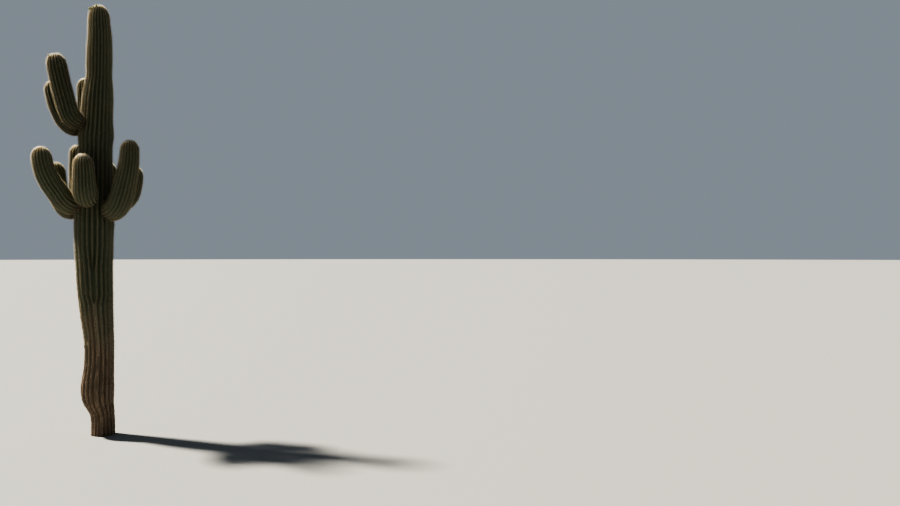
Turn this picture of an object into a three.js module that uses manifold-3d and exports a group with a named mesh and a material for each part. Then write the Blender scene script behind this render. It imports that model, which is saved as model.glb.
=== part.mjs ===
// A large saguaro cactus: one ribbed trunk and ten ribbed arms that bend up round it.
// Millimetres, +Z up. The origin is the middle of the flat cut under the trunk, at ground level.
// -Y is the front of the plant and +X its right. Azimuths are turned from the front to the right.

import * as THREE from "three";
import Module from "manifold-3d";

const wasm = await Module();
wasm.setup();

// Sizes of the trunk. Each station is a height with the radius over the rib crests,
// and how far the axis leans to the left there.
const TRUNK_TOP = 6582;
const TRUNK_SHOULDER = 6335;
const TRUNK_STATIONS = [
  { height: 0, radius: 184, lean: 0 },
  { height: 180, radius: 182, lean: 2 },
  { height: 300, radius: 186, lean: 10 },
  { height: 390, radius: 203, lean: 33 },
  { height: 500, radius: 229, lean: 65 },
  { height: 640, radius: 243, lean: 79 },
  { height: 790, radius: 243, lean: 79 },
  { height: 1100, radius: 224, lean: 57 },
  { height: 1470, radius: 223, lean: 61 },
  { height: 1940, radius: 249, lean: 98 },
  { height: 2680, radius: 273, lean: 127 },
  { height: 3260, radius: 290, lean: 128 },
  { height: 4400, radius: 247, lean: 109 },
  { height: 4570, radius: 257, lean: 105 },
  { height: 4800, radius: 237, lean: 91 },
  { height: 5230, radius: 221, lean: 73 },
  { height: 5520, radius: 187, lean: 55 },
  { height: 5670, radius: 191, lean: 54 },
  { height: 6105, radius: 177, lean: 49 },
  { height: TRUNK_SHOULDER, radius: 161, lean: 59 },
];
const FORWARD_SHARE_OF_LEAN = 0.3;
const TRUNK_RING_SPACING = 400;
const TRUNK_TIP_RINGS = 5;
const TRUNK_RIBS = 22;
const TRUNK_RIB_DEPTH = 0.15; // share of the radius
const FOOT_RIB_DEPTH = 0.07; // the corky foot has shallower ribs
const CORKY_HEIGHT = 1500;

// Sizes of the arms. jointHeight is where an arm leaves the trunk and rootSlope how steeply it
// does so. foot is where its upright column starts, out from the trunk's axis and above the
// ground, and footLean how far the column leans out there. neck, girth and tipGirth are radii
// at the joint, at the elbow and below the rounded tip.
const ARMS = [
  {
    name: "upper_left_front",
    azimuth: -62, jointHeight: 4716, rootSlope: 6,
    footReach: 462, footHeight: 4965, footLean: 17,
    tipReach: 646, tipHeight: 5730,
    neck: 93, girth: 148, tipGirth: 143, ribs: 18, buds: 1,
  },
  {
    name: "upper_left_back",
    azimuth: -106, jointHeight: 4655, rootSlope: -4,
    footReach: 541, footHeight: 4950, footLean: 24,
    tipReach: 647, tipHeight: 5406,
    neck: 83, girth: 132, tipGirth: 126, ribs: 16, buds: 0,
  },
  {
    name: "upper_back",
    azimuth: -161, jointHeight: 4620, rootSlope: 0,
    footReach: 445, footHeight: 4900, footLean: 6,
    tipReach: 490, tipHeight: 5527,
    neck: 81, girth: 130, tipGirth: 124, ribs: 16, buds: 0,
  },
  {
    name: "lower_left_front",
    azimuth: -62, jointHeight: 3505, rootSlope: -8,
    footReach: 626, footHeight: 3760, footLean: 40,
    tipReach: 812, tipHeight: 4337,
    neck: 100, girth: 164, tipGirth: 142, ribs: 18, buds: 0,
  },
  {
    name: "lower_left_back",
    azimuth: -111, jointHeight: 3395, rootSlope: -6,
    footReach: 530, footHeight: 3670, footLean: 12,
    tipReach: 590, tipHeight: 4173,
    neck: 88, girth: 144, tipGirth: 133, ribs: 17, buds: 0,
  },
  {
    name: "lower_back_left",
    azimuth: -153, jointHeight: 3380, rootSlope: -4,
    footReach: 540, footHeight: 3640, footLean: 6,
    tipReach: 552, tipHeight: 4476,
    neck: 81, girth: 126, tipGirth: 114, ribs: 15, buds: 2,
  },
  {
    name: "lower_front",
    azimuth: -16, jointHeight: 3640, rootSlope: -8,
    footReach: 510, footHeight: 3830, footLean: 6,
    tipReach: 572, tipHeight: 4240,
    neck: 106, girth: 175, tipGirth: 139, ribs: 21, buds: 0,
  },
  {
    name: "lower_right_front",
    azimuth: 43, jointHeight: 3440, rootSlope: -14,
    footReach: 598, footHeight: 3720, footLean: 22,
    tipReach: 720, tipHeight: 4472,
    neck: 104, girth: 178, tipGirth: 137, ribs: 20, buds: 0,
  },
  {
    name: "lower_right_back",
    azimuth: 102, jointHeight: 3530, rootSlope: -6,
    footReach: 562, footHeight: 3780, footLean: 12,
    tipReach: 598, tipHeight: 4140,
    neck: 88, girth: 140, tipGirth: 132, ribs: 17, buds: 0,
  },
  {
    name: "lower_back_right",
    azimuth: 156, jointHeight: 3420, rootSlope: -2,
    footReach: 500, footHeight: 3660, footLean: 4,
    tipReach: 530, tipHeight: 4215,
    neck: 79, girth: 122, tipGirth: 116, ribs: 15, buds: 0,
  },
];
const ARM_RIB_DEPTH = 0.16; // share of the radius
const ARM_SWELL_LENGTH = 170; // from the neck to the full girth
const ARM_TAPER_START = 0.4; // share of the length where the girth starts to change to tipGirth
const ROOT_START_SHARE = 0.6; // an elbow is made from this share of the trunk's radius, then cut
const ROOT_HANDLE_SHARE = 0.78; // of footReach, how far an arm keeps its first direction
const FOOT_HANDLE_SHARE = 1.15; // of the girth, how soon the elbow comes upright
const ARM_TIP_LENGTH = 1.3; // the rounded tip's length as a share of tipGirth
const ELBOW_RINGS = 6;
const COLUMN_RINGS = 4;
const TIP_RINGS = 4;
const TIP_BLUNTNESS = 2.2; // 2 makes a tip half an ellipse, and more is blunter
const JOINT_GAP = 0.3;
const SEAT_MARGIN = 0.6; // on the trunk's radius, which leaves about 0.3 on the slopes of its ribs

// Sizes of the flower buds on the tips. The outline is in shares of the length and the radius, and
// the trunk's buds stand round the left side of its tip.
const BUD_LENGTH = 40;
const BUD_RADIUS = 14;
const BUD_OUTLINE = [
  { along: -0.2, girth: 0.75 },
  { along: 0.25, girth: 1 },
  { along: 0.65, girth: 0.85 },
];
const BUD_SUNK_SHARE = 0.35;
const BUD_SIDES = 6;
const BUD_SPLAY = 0.6; // 0 points a bud along its stem and 1 halfway out
const BUD_PLACE_ON_TIP = 0.82; // 0 where the rounded tip starts, 1 at its top
const TRUNK_BUDS = 8;
const TRUNK_BUDS_AZIMUTH = -95;
const TRUNK_BUDS_SPREAD = 165;
const ARM_BUDS_SPREAD = 80;

const TRUNK_COLOUR = "#4c4636";
const ARM_COLOUR = "#4d5236";
const SKIN_ROUGHNESS = 0.85;

// How deep in its groove each point of one rib lies: 0 is the crest and 1 the bottom.
const TRUNK_POINT_DEPTHS = [1, 0, 0];
const ARM_POINT_DEPTHS = [0, 1];

const RIGHT = new THREE.Vector3(1, 0, 0);
const BACK = new THREE.Vector3(0, 1, 0);
const UP = new THREE.Vector3(0, 0, 1);
const { lerp, clamp, smoothstep, degToRad } = THREE.MathUtils;

// The level direction of an azimuth
function headingOf(azimuth) {
  const angle = degToRad(azimuth);
  return new THREE.Vector3(Math.sin(angle), -Math.cos(angle), 0);
}

// One size of the trunk at a height, on a smooth line through the stations
function trunkSize(height, size) {
  const last = TRUNK_STATIONS.length - 1;
  const held = clamp(height, 0, TRUNK_SHOULDER);
  let i = 0;
  while (i < last - 1 && TRUNK_STATIONS[i + 1].height < held) i += 1;
  const slopeAt = (k) => {
    const before = TRUNK_STATIONS[Math.max(k - 1, 0)];
    const after = TRUNK_STATIONS[Math.min(k + 1, last)];
    return (after[size] - before[size]) / (after.height - before.height);
  };
  const low = TRUNK_STATIONS[i];
  const high = TRUNK_STATIONS[i + 1];
  const span = high.height - low.height;
  const t = (held - low.height) / span;
  const rise = high[size] - low[size];
  const lowBend = slopeAt(i) * span - rise;
  const highBend = rise - slopeAt(i + 1) * span;
  return low[size] + rise * t + t * (1 - t) * ((1 - t) * lowBend + t * highBend);
}

function trunkAxis(height) {
  const lean = trunkSize(height, "lean");
  return new THREE.Vector3(-lean, -lean * FORWARD_SHARE_OF_LEAN, height);
}

// A closed skin over a row of rings of points, with each end closed by a fan round its centre
function skinOf(rings, startCentre, endCentre) {
  const sides = rings[0].length;
  const points = [...rings.flat(), startCentre, endCentre];
  const start = points.length - 2;
  const end = points.length - 1;
  const lastRing = (rings.length - 1) * sides;
  const faces = [];
  for (let side = 0; side < sides; side += 1) {
    const next = (side + 1) % sides;
    for (let low = 0; low < lastRing; low += sides) {
      const high = low + sides;
      faces.push(low + side, low + next, high + next);
      faces.push(low + side, high + next, high + side);
    }
    faces.push(start, next, side);
    faces.push(end, lastRing + side, lastRing + next);
  }
  const geometry = new THREE.BufferGeometry().setFromPoints(points);
  geometry.setIndex(faces);
  return geometry;
}

// One ring of a ribbed stem, in the plane of two directions at right angles. The first point
// lies along the first direction.
function ribbedRing(centre, first, second, radius, ribs, ribDepth, pointDepths) {
  const count = ribs * pointDepths.length;
  return Array.from({ length: count }, (_, i) => {
    const angle = (2 * Math.PI * i) / count;
    const reach = radius * (1 - ribDepth * pointDepths[i % pointDepths.length]);
    return centre
      .clone()
      .addScaledVector(first, reach * Math.cos(angle))
      .addScaledVector(second, reach * Math.sin(angle));
  });
}

// The radius of a rounded tip as a share, from 1 where it starts to 0 at its top
function tipShare(t) {
  return Math.sqrt(Math.max(1 - t ** TIP_BLUNTNESS, 0));
}

// Places on a rounded tip, closer together towards its top, without either end
function tipSteps(count) {
  return Array.from({ length: count }, (_, k) => Math.sin(((Math.PI / 2) * (k + 1)) / (count + 1)));
}

function evenSteps(from, to, count) {
  return Array.from({ length: count + 1 }, (_, k) => lerp(from, to, k / count));
}

// The heights of the trunk's rings: every station, and more between two that lie far apart
function trunkRingHeights() {
  const heights = [0];
  for (let i = 1; i < TRUNK_STATIONS.length; i += 1) {
    const low = TRUNK_STATIONS[i - 1].height;
    const high = TRUNK_STATIONS[i].height;
    const count = Math.ceil((high - low) / TRUNK_RING_SPACING);
    heights.push(...evenSteps(low, high, count).slice(1));
  }
  return heights;
}

function trunkTipHeight(t) {
  return lerp(TRUNK_SHOULDER, TRUNK_TOP, t);
}

function trunkTipRadius(t) {
  return trunkSize(TRUNK_SHOULDER, "radius") * tipShare(t);
}

// The trunk from its flat foot to its tip, with every radius larger by a margin
function trunkGeometry(margin) {
  const ringAt = (height, radius) => {
    const depth = lerp(FOOT_RIB_DEPTH, TRUNK_RIB_DEPTH, smoothstep(height, 0, CORKY_HEIGHT));
    const reach = radius + margin;
    return ribbedRing(trunkAxis(height), RIGHT, BACK, reach, TRUNK_RIBS, depth, TRUNK_POINT_DEPTHS);
  };
  const stemRings = trunkRingHeights().map((height) => ringAt(height, trunkSize(height, "radius")));
  const tipRings = tipSteps(TRUNK_TIP_RINGS).map((t) => ringAt(trunkTipHeight(t), trunkTipRadius(t)));
  return skinOf([...stemRings, ...tipRings], trunkAxis(0), trunkAxis(TRUNK_TOP));
}

// The centre line of an arm: out of the trunk, round the elbow and up the column
function armLine(arm) {
  const outward = headingOf(arm.azimuth);
  const tilted = (degreesUp) => {
    const angle = degToRad(degreesUp);
    return outward.clone().multiplyScalar(Math.cos(angle)).addScaledVector(UP, Math.sin(angle));
  };
  const root = trunkAxis(arm.jointHeight);
  const foot = root.clone().addScaledVector(outward, arm.footReach).setZ(arm.footHeight);
  const tip = root.clone().addScaledVector(outward, arm.tipReach).setZ(arm.tipHeight);
  const rootAim = tilted(arm.rootSlope);
  const footAim = tilted(90 - arm.footLean);
  const rootHandle = root.clone().addScaledVector(rootAim, arm.footReach * ROOT_HANDLE_SHARE);
  const footHandle = foot.clone().addScaledVector(footAim, -arm.girth * FOOT_HANDLE_SHARE);
  const columnHandle = foot.clone().addScaledVector(footAim, foot.distanceTo(tip) / 2);
  const path = new THREE.CurvePath();
  path.add(new THREE.CubicBezierCurve3(root, rootHandle, footHandle, foot));
  path.add(new THREE.QuadraticBezierCurve3(foot, columnHandle, tip));
  const side = new THREE.Vector3().crossVectors(UP, outward);
  const [elbowLength, columnLength] = path.curves.map((curve) => curve.getLength());
  return { path, side, elbowLength, length: elbowLength + columnLength };
}

// The centre of an arm at a length along its line, with the directions there: along the arm, to
// the outer side of its bend and across
function armPlace(line, along) {
  const u = clamp(along / line.length, 0, 1);
  const ahead = line.path.getTangentAt(u);
  const outer = new THREE.Vector3().crossVectors(line.side, ahead).normalize();
  const across = new THREE.Vector3().crossVectors(ahead, outer);
  return { centre: line.path.getPointAt(u), ahead, outer, across };
}

function armTipStart(arm, line) {
  return line.length - arm.tipGirth * ARM_TIP_LENGTH;
}

// The radius over an arm's rib crests at a length along its line
function armRadius(arm, line, along) {
  const outOfTrunk = along - trunkSize(arm.jointHeight, "radius");
  const swell = clamp(outOfTrunk / ARM_SWELL_LENGTH, 0, 1);
  const taper = smoothstep(along / line.length, ARM_TAPER_START, 1);
  const stout = lerp(arm.girth, arm.tipGirth, taper);
  const tipStart = armTipStart(arm, line);
  const t = Math.max(along - tipStart, 0) / (line.length - tipStart);
  return lerp(arm.neck, stout, Math.sqrt(1 - (1 - swell) ** 2)) * tipShare(t);
}

function armRing(arm, line, along) {
  const { centre, outer, across } = armPlace(line, along);
  const radius = armRadius(arm, line, along);
  return ribbedRing(centre, outer, across, radius, arm.ribs, ARM_RIB_DEPTH, ARM_POINT_DEPTHS);
}

// The stretch of an arm between the first and the last of some lengths along its line
function armStretch(arm, line, ringLengths, end) {
  const rings = ringLengths.map((along) => armRing(arm, line, along));
  return skinOf(rings, armPlace(line, ringLengths[0]).centre, armPlace(line, end).centre);
}

// A plump bud on a foot at a point, with its foot sunk under it
function budGeometry(point, aim) {
  const at = (share) => new THREE.Vector3(0, 0, share * BUD_LENGTH);
  const rings = BUD_OUTLINE.map(({ along, girth }) =>
    ribbedRing(at(along), RIGHT, BACK, girth * BUD_RADIUS, BUD_SIDES, 0, [0]),
  );
  const bud = skinOf(rings, at(-BUD_SUNK_SHARE), at(1));
  bud.applyQuaternion(new THREE.Quaternion().setFromUnitVectors(UP, aim.clone().normalize()));
  return bud.translate(point.x, point.y, point.z);
}

function solidOf(geometry) {
  return new wasm.Manifold(
    new wasm.Mesh({
      numProp: 3,
      vertProperties: new Float32Array(geometry.getAttribute("position").array),
      triVerts: new Uint32Array(geometry.index.array),
    }),
  );
}

function geometryOf(solid) {
  const mesh = solid.getMesh();
  const geometry = new THREE.BufferGeometry();
  geometry.setAttribute("position", new THREE.BufferAttribute(mesh.vertProperties, 3));
  geometry.setIndex(new THREE.BufferAttribute(mesh.triVerts, 1));
  geometry.computeVertexNormals();
  return geometry;
}

// The largest of the pieces that a cut leaves
function largestOf(solid) {
  return solid.decompose().reduce((best, piece) => (piece.volume() > best.volume() ? piece : best));
}

// A solid with buds fused on round its tip, one along each of the directions given
function withBuds(solid, centre, radius, axis, directions) {
  return directions.reduce((grown, direction) => {
    const foot = centre.clone().addScaledVector(direction, radius);
    const aim = axis.clone().addScaledVector(direction, BUD_SPLAY);
    return grown.add(solidOf(budGeometry(foot, aim)));
  }, solid);
}

// Angles spread evenly round a middle one; a single angle is the middle one
function spreadAngles(middle, spread, count) {
  return Array.from({ length: count }, (_, k) => middle + spread * ((k + 0.5) / count - 0.5));
}

function buddedTrunk() {
  const centre = trunkAxis(trunkTipHeight(BUD_PLACE_ON_TIP));
  const radius = trunkTipRadius(BUD_PLACE_ON_TIP);
  const azimuths = spreadAngles(TRUNK_BUDS_AZIMUTH, TRUNK_BUDS_SPREAD, TRUNK_BUDS);
  return withBuds(solidOf(trunkGeometry(0)), centre, radius, UP, azimuths.map(headingOf));
}

// The elbow, cut to the trunk's ribs
function elbowSolid(arm, line, trunkCutter) {
  const inside = trunkSize(arm.jointHeight, "radius") * ROOT_START_SHARE;
  const end = line.elbowLength - JOINT_GAP;
  const whole = armStretch(arm, line, evenSteps(inside, end, ELBOW_RINGS), end);
  return largestOf(solidOf(whole).subtract(trunkCutter));
}

// The upright column, from the elbow's end to the tip
function columnSolid(arm, line) {
  const tipStart = armTipStart(arm, line);
  const ringLengths = [
    ...evenSteps(line.elbowLength, tipStart, COLUMN_RINGS),
    ...tipSteps(TIP_RINGS).map((t) => lerp(tipStart, line.length, t)),
  ];
  const column = solidOf(armStretch(arm, line, ringLengths, line.length));
  const budsAlong = lerp(tipStart, line.length, BUD_PLACE_ON_TIP);
  const { centre, ahead, outer, across } = armPlace(line, budsAlong);
  const directions = spreadAngles(0, ARM_BUDS_SPREAD, arm.buds).map((degrees) => {
    const angle = degToRad(degrees);
    return outer.clone().multiplyScalar(Math.cos(angle)).addScaledVector(across, Math.sin(angle));
  });
  return withBuds(column, centre, armRadius(arm, line, budsAlong), ahead, directions);
}

const cactus = new THREE.Group();
cactus.name = "saguaro_cactus";

function addPiece(name, solid, colour) {
  const material = new THREE.MeshStandardMaterial({
    color: colour,
    roughness: SKIN_ROUGHNESS,
    metalness: 0,
  });
  const mesh = new THREE.Mesh(geometryOf(solid), material);
  mesh.name = name;
  cactus.add(mesh);
}

addPiece("trunk", buddedTrunk(), TRUNK_COLOUR);
const trunkCutter = solidOf(trunkGeometry(SEAT_MARGIN));
for (const arm of ARMS) {
  const line = armLine(arm);
  addPiece(`${arm.name}_elbow`, elbowSolid(arm, line, trunkCutter), ARM_COLOUR);
  addPiece(`${arm.name}_arm`, columnSolid(arm, line), ARM_COLOUR);
}

export default cactus;
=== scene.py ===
"""The finished look of a large saguaro cactus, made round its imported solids.

Metres, +Z up. The front of the plant is -Y and its right +X, and azimuths turn from the front to the right.
Each stem is a ribbed skin. Felt pads stand in rows on its crests, and clusters of spines on the pads.
"""

import logging
import math
from abc import ABC, abstractmethod
from dataclasses import dataclass, replace
from enum import Enum
from typing import ClassVar, Sequence

import bmesh
import bpy
import numpy as np
from mathutils import Euler, Matrix, Vector

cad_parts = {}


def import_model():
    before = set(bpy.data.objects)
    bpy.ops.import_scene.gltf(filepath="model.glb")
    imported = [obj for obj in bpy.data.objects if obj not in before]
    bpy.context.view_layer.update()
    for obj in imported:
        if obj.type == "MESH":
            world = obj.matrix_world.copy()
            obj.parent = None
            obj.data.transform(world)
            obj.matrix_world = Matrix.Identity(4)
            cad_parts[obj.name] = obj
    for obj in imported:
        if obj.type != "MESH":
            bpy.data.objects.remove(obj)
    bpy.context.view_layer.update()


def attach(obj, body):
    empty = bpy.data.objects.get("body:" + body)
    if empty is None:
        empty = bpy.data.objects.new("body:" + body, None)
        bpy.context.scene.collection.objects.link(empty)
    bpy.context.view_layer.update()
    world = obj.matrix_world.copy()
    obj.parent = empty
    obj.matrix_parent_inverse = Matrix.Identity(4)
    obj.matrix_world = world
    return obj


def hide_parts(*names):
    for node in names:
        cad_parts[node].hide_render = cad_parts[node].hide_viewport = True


LOG = logging.getLogger("saguaro")
BODY = "root"
RIGHT = np.array([1.0, 0.0, 0.0])
BACK = np.array([0.0, 1.0, 0.0])
UP = np.array([0.0, 0.0, 1.0])
FULL_TURN = 2 * math.pi
FIRST_SEED = 1907
MERGE_DISTANCE = 1e-6
Values = np.ndarray | float
Colour = tuple[float, float, float]


def blend(low: Values, high: Values, share: Values) -> Values:
    """Returns the value at a share of the way from low to high."""
    return low + (high - low) * share


def ease(value: Values, start: Values, end: Values) -> np.ndarray:
    """Returns 0 before start, 1 after end and a smooth rise between them."""
    t = np.clip((np.asarray(value, float) - start) / (end - start), 0.0, 1.0)
    return t * t * (3 - 2 * t)


def unit(vectors: np.ndarray) -> np.ndarray:
    """Returns the vectors at length 1, along the last axis."""
    return vectors / np.linalg.norm(vectors, axis=-1, keepdims=True)


def heading(azimuth: float) -> np.ndarray:
    """Returns the level direction of an azimuth in degrees."""
    angle = math.radians(azimuth)
    return np.array([math.sin(angle), -math.cos(angle), 0.0])


def spread(middle: float, width: float, count: int) -> list[float]:
    """Returns angles spread evenly round a middle one."""
    return [middle + width * ((k + 0.5) / count - 0.5) for k in range(count)]


class SmoothLine:
    """A smooth line through values at rising places."""

    def __init__(self, places: Sequence[float], values: Sequence[float]) -> None:
        """Keeps the places and the values, and works out the slope at each.

        Args:
            places: Where the values hold, rising.
            values: One value for each place.
        """
        self.places = np.array(places, float)
        self.values = np.array(values, float)
        before = np.maximum(np.arange(len(self.places)) - 1, 0)
        after = np.minimum(np.arange(len(self.places)) + 1, len(self.places) - 1)
        run = self.places[after] - self.places[before]
        self.slopes = (self.values[after] - self.values[before]) / run

    def at(self, place: Values) -> np.ndarray:
        """Reads the line.

        Args:
            place: Where to read it. Past either end the line is level.

        Returns:
            The value at each place.
        """
        held = np.clip(np.asarray(place, float), self.places[0], self.places[-1])
        low = np.clip(np.searchsorted(self.places, held) - 1, 0, len(self.places) - 2)
        span = self.places[low + 1] - self.places[low]
        rise = self.values[low + 1] - self.values[low]
        t = (held - self.places[low]) / span
        low_bend = self.slopes[low] * span - rise
        high_bend = rise - self.slopes[low + 1] * span
        return self.values[low] + rise * t + t * (1 - t) * ((1 - t) * low_bend + t * high_bend)


class Lumps:
    """Smooth seeded noise over space, made of waves in random directions."""

    WAVES = 14
    PACES = (0.6, 1.5)

    def __init__(self, seed: int, size: float, tall: float = 1.0) -> None:
        """Draws the waves.

        Args:
            seed: Which noise it is.
            size: How far apart its lumps stand.
            tall: How many times taller than wide they are.
        """
        rng = np.random.default_rng(seed)
        aims = unit(rng.normal(size=(self.WAVES, 3)))
        pace = FULL_TURN / size * rng.uniform(*self.PACES, size=(self.WAVES, 1))
        self.waves = aims * pace * np.array([1.0, 1.0, 1.0 / tall])
        self.phases = rng.uniform(0, FULL_TURN, size=self.WAVES)

    def at(self, points: np.ndarray) -> np.ndarray:
        """Returns the noise at points, mostly between -1 and 1."""
        return np.sin(points @ self.waves.T + self.phases).sum(axis=-1) / math.sqrt(self.WAVES)


@dataclass(frozen=True)
class Station:
    """One level of the trunk.

    Attributes:
        height: Above the ground.
        radius: Over the rib crests.
        lean: How far the axis stands to the left there.
    """

    height: float
    radius: float
    lean: float


TRUNK_STATIONS = (
    Station(0.000, 0.184, 0.000),
    Station(0.180, 0.182, 0.002),
    Station(0.300, 0.186, 0.010),
    Station(0.390, 0.203, 0.033),
    Station(0.500, 0.229, 0.065),
    Station(0.640, 0.243, 0.079),
    Station(0.790, 0.243, 0.079),
    Station(1.100, 0.224, 0.057),
    Station(1.470, 0.223, 0.061),
    Station(1.940, 0.249, 0.098),
    Station(2.680, 0.273, 0.127),
    Station(3.260, 0.290, 0.128),
    Station(4.400, 0.247, 0.109),
    Station(4.570, 0.257, 0.105),
    Station(4.800, 0.237, 0.091),
    Station(5.230, 0.221, 0.073),
    Station(5.520, 0.187, 0.055),
    Station(5.670, 0.191, 0.054),
    Station(6.105, 0.177, 0.049),
    Station(6.335, 0.161, 0.059),
)


class ForkKind(Enum):
    """How one more rib starts on the way up a stem."""

    GROOVE = "a groove opens in the middle of a rib"
    RIB = "a thin rib grows up in a groove"


@dataclass(frozen=True)
class Fork:
    """A place where one more rib starts.

    Attributes:
        kind: How it starts.
        slot: The rib at the foot of the stem that it belongs to.
        along: How far along the stem.
    """

    kind: ForkKind
    slot: int
    along: float


@dataclass(frozen=True)
class Rib:
    """One rib, with the groove after it.

    Attributes:
        BELOW_ANY_STEM: A place that is far below every stem's foot.
        born: Where along the stem it starts to widen and rise.
        least_width: Its share of a full width before that.
        least_height: Its share of a full height before that.
        groove_born: Where along the stem the groove after it opens.
        widening: How long it takes to reach its full width.
    """

    BELOW_ANY_STEM: ClassVar[float] = -100.0

    born: float = BELOW_ANY_STEM
    least_width: float = 1.0
    least_height: float = 1.0
    groove_born: float = BELOW_ANY_STEM
    widening: float = 1.0


class RibRow:
    """The ribs round a stem, whose number grows at the forks.

    Attributes:
        COLUMN_SHARES: Where the columns of points stand over a rib, from -1, the groove before it, to 1.
        SPLIT_WIDTH: A rib's share of a full width where a groove has just opened in it.
        SPROUT_WIDTH: A thin new rib's share of a full width at its foot.
        SPLIT_WIDENING: How long the halves of a rib take to reach their full width.
        SPROUT_WIDENING: How long a thin new rib does.
        RISING: How long a thin new rib takes to reach its full height.
        OPENING: How long a new groove takes to reach its full depth.
        SWAY: How far the grooves wander, as a share of a rib's width.
        SWAY_PACES: How fast they do so.
        OPEN_GROOVE: How deep the groove before a rib is where the rib starts to bear areoles.
        SUNK_CREST: How deep its crest may lie there.
        LEAST_SIDE: The least width of a rib's side, which nothing is divided by less of.
    """

    COLUMN_SHARES = (-1.0, -0.8, -0.55, -0.27, 0.0, 0.27, 0.55, 0.8)
    SPLIT_WIDTH = 0.56
    SPROUT_WIDTH = 0.28
    SPLIT_WIDENING = 0.16
    SPROUT_WIDENING = 0.45
    RISING = 0.12
    OPENING = 0.08
    SWAY = 0.05
    SWAY_PACES = (3.5, 7.5)
    OPEN_GROOVE = 0.5
    SUNK_CREST = 0.6
    LEAST_SIDE = 1e-6

    def __init__(self, plain: int, forks: Sequence[Fork], middle: float, roundness: float,
                 seed: int) -> None:
        """Lays the ribs out in order round the stem.

        Args:
            plain: How many ribs there are at its foot.
            forks: Where more start.
            middle: The angle that the first of them is centred on.
            roundness: How round the crests are, from 0.1, an edge, to 1, a full curve.
            seed: Which sway the ribs have.
        """
        self.ribs: list[Rib] = []
        for slot in range(plain):
            own = sorted((f for f in forks if f.slot == slot), key=lambda f: f.along)
            self.ribs.extend(self._slot_ribs(own))
            if slot == 0:
                self.first_slot = len(self.ribs)
        self.middle = middle
        self.roundness = roundness
        rng = np.random.default_rng(seed)
        self.sway_phases = rng.uniform(0, FULL_TURN, size=(2, len(self.ribs)))
        self.sway_paces = rng.uniform(*self.SWAY_PACES, size=(2, len(self.ribs)))

    @classmethod
    def _slot_ribs(cls, forks: Sequence[Fork]) -> list[Rib]:
        """Splits one rib at the foot.

        Args:
            forks: Where more ribs start in it, on the way up.

        Returns:
            The ribs that it becomes, in order.
        """
        ribs = [Rib()]
        for fork in forks:
            if fork.kind is ForkKind.GROOVE:
                second = Rib(fork.along, cls.SPLIT_WIDTH, widening=cls.SPLIT_WIDENING)
                ribs[-1:] = [replace(second, groove_born=fork.along), second]
            else:
                sprout = Rib(fork.along, cls.SPROUT_WIDTH, 0.0, ribs[0].groove_born, cls.SPROUT_WIDENING)
                ribs.insert(1, sprout)
        return ribs

    def _each(self, field: str) -> np.ndarray:
        """Returns one field of the ribs, one number a rib."""
        return np.array([getattr(rib, field) for rib in self.ribs])

    def _widths(self, along: np.ndarray) -> np.ndarray:
        """Returns each rib's share of a full width, one row a place."""
        born = self._each("born")
        grown = ease(along[:, None], born, born + self._each("widening"))
        return blend(self._each("least_width"), 1.0, grown)

    def _heights(self, along: np.ndarray) -> np.ndarray:
        """Returns each rib's share of a full height, one row a place."""
        born = self._each("born")
        grown = ease(along[:, None], born, born + self.RISING)
        return blend(self._each("least_height"), 1.0, grown)

    def _grooves(self, along: np.ndarray) -> np.ndarray:
        """Returns how deep the groove after each rib is, from 0 to 1, one row a place."""
        born = self._each("groove_born")
        return ease(along[:, None], born, born + self.OPENING)

    def _edges(self, along: np.ndarray) -> tuple[np.ndarray, np.ndarray]:
        """Shares the way round the stem out among the ribs.

        Args:
            along: Places along the stem.

        Returns:
            The angle where each rib starts and the angle that it takes, one row a place.
        """
        widths = self._widths(along)
        turns = FULL_TURN * widths / widths.sum(axis=1, keepdims=True)
        starts = np.cumsum(turns, axis=1) - turns
        first = turns[:, :self.first_slot].sum(axis=1, keepdims=True) / 2
        starts = starts - first + self.middle
        place = along[:, None]
        waves = [np.sin(place * pace + phase) for pace, phase in zip(self.sway_paces, self.sway_phases)]
        narrow = np.minimum(turns, np.roll(turns, 1, axis=1))
        starts = starts + self.SWAY * narrow * sum(waves) / len(waves)
        ends = np.concatenate([starts[:, 1:], starts[:, :1] + FULL_TURN], axis=1)
        return starts, ends - starts

    def crests(self, along: np.ndarray) -> tuple[np.ndarray, np.ndarray, np.ndarray]:
        """Finds the top line of each rib.

        Args:
            along: Places along the stem.

        Returns:
            The crest's angle, how deep it lies from 0 to 1, and whether the rib stands as one of its own
            there, one row a place.
        """
        starts, turns = self._edges(along)
        after = self._grooves(along)
        before = np.roll(after, 1, axis=1)
        skew = before - after
        depth = (1 - self._heights(along)) * np.minimum(before, after)
        stands = (before > self.OPEN_GROOVE) & (depth < self.SUNK_CREST)
        return starts + turns * (1 + skew) / 2, depth, stands

    def section(self, along: np.ndarray) -> tuple[np.ndarray, np.ndarray]:
        """Finds the outline of the stem.

        Args:
            along: Places along the stem.

        Returns:
            The angle of each column of points, and how deep it lies between the crests, 0, and the groove
            bottoms, 1, one row a place.
        """
        starts, turns = self._edges(along)
        after = self._grooves(along)[..., None]
        before = np.roll(after, 1, axis=1)
        shares = np.array(self.COLUMN_SHARES)
        skew = before - after
        crest = (1 - self._heights(along))[..., None] * np.minimum(before, after)
        to_left = np.clip((skew - shares) / np.maximum(1 + skew, self.LEAST_SIDE), 0, 1)
        to_right = np.clip((shares - skew) / np.maximum(1 - skew, self.LEAST_SIDE), 0, 1)
        depth = np.where(shares < skew,
                         blend(crest, before, self._flank(to_left)),
                         blend(crest, after, self._flank(to_right)))
        angle = starts[..., None] + turns[..., None] * (1 + shares) / 2
        return angle.reshape(len(along), -1), depth.reshape(len(along), -1)

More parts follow.
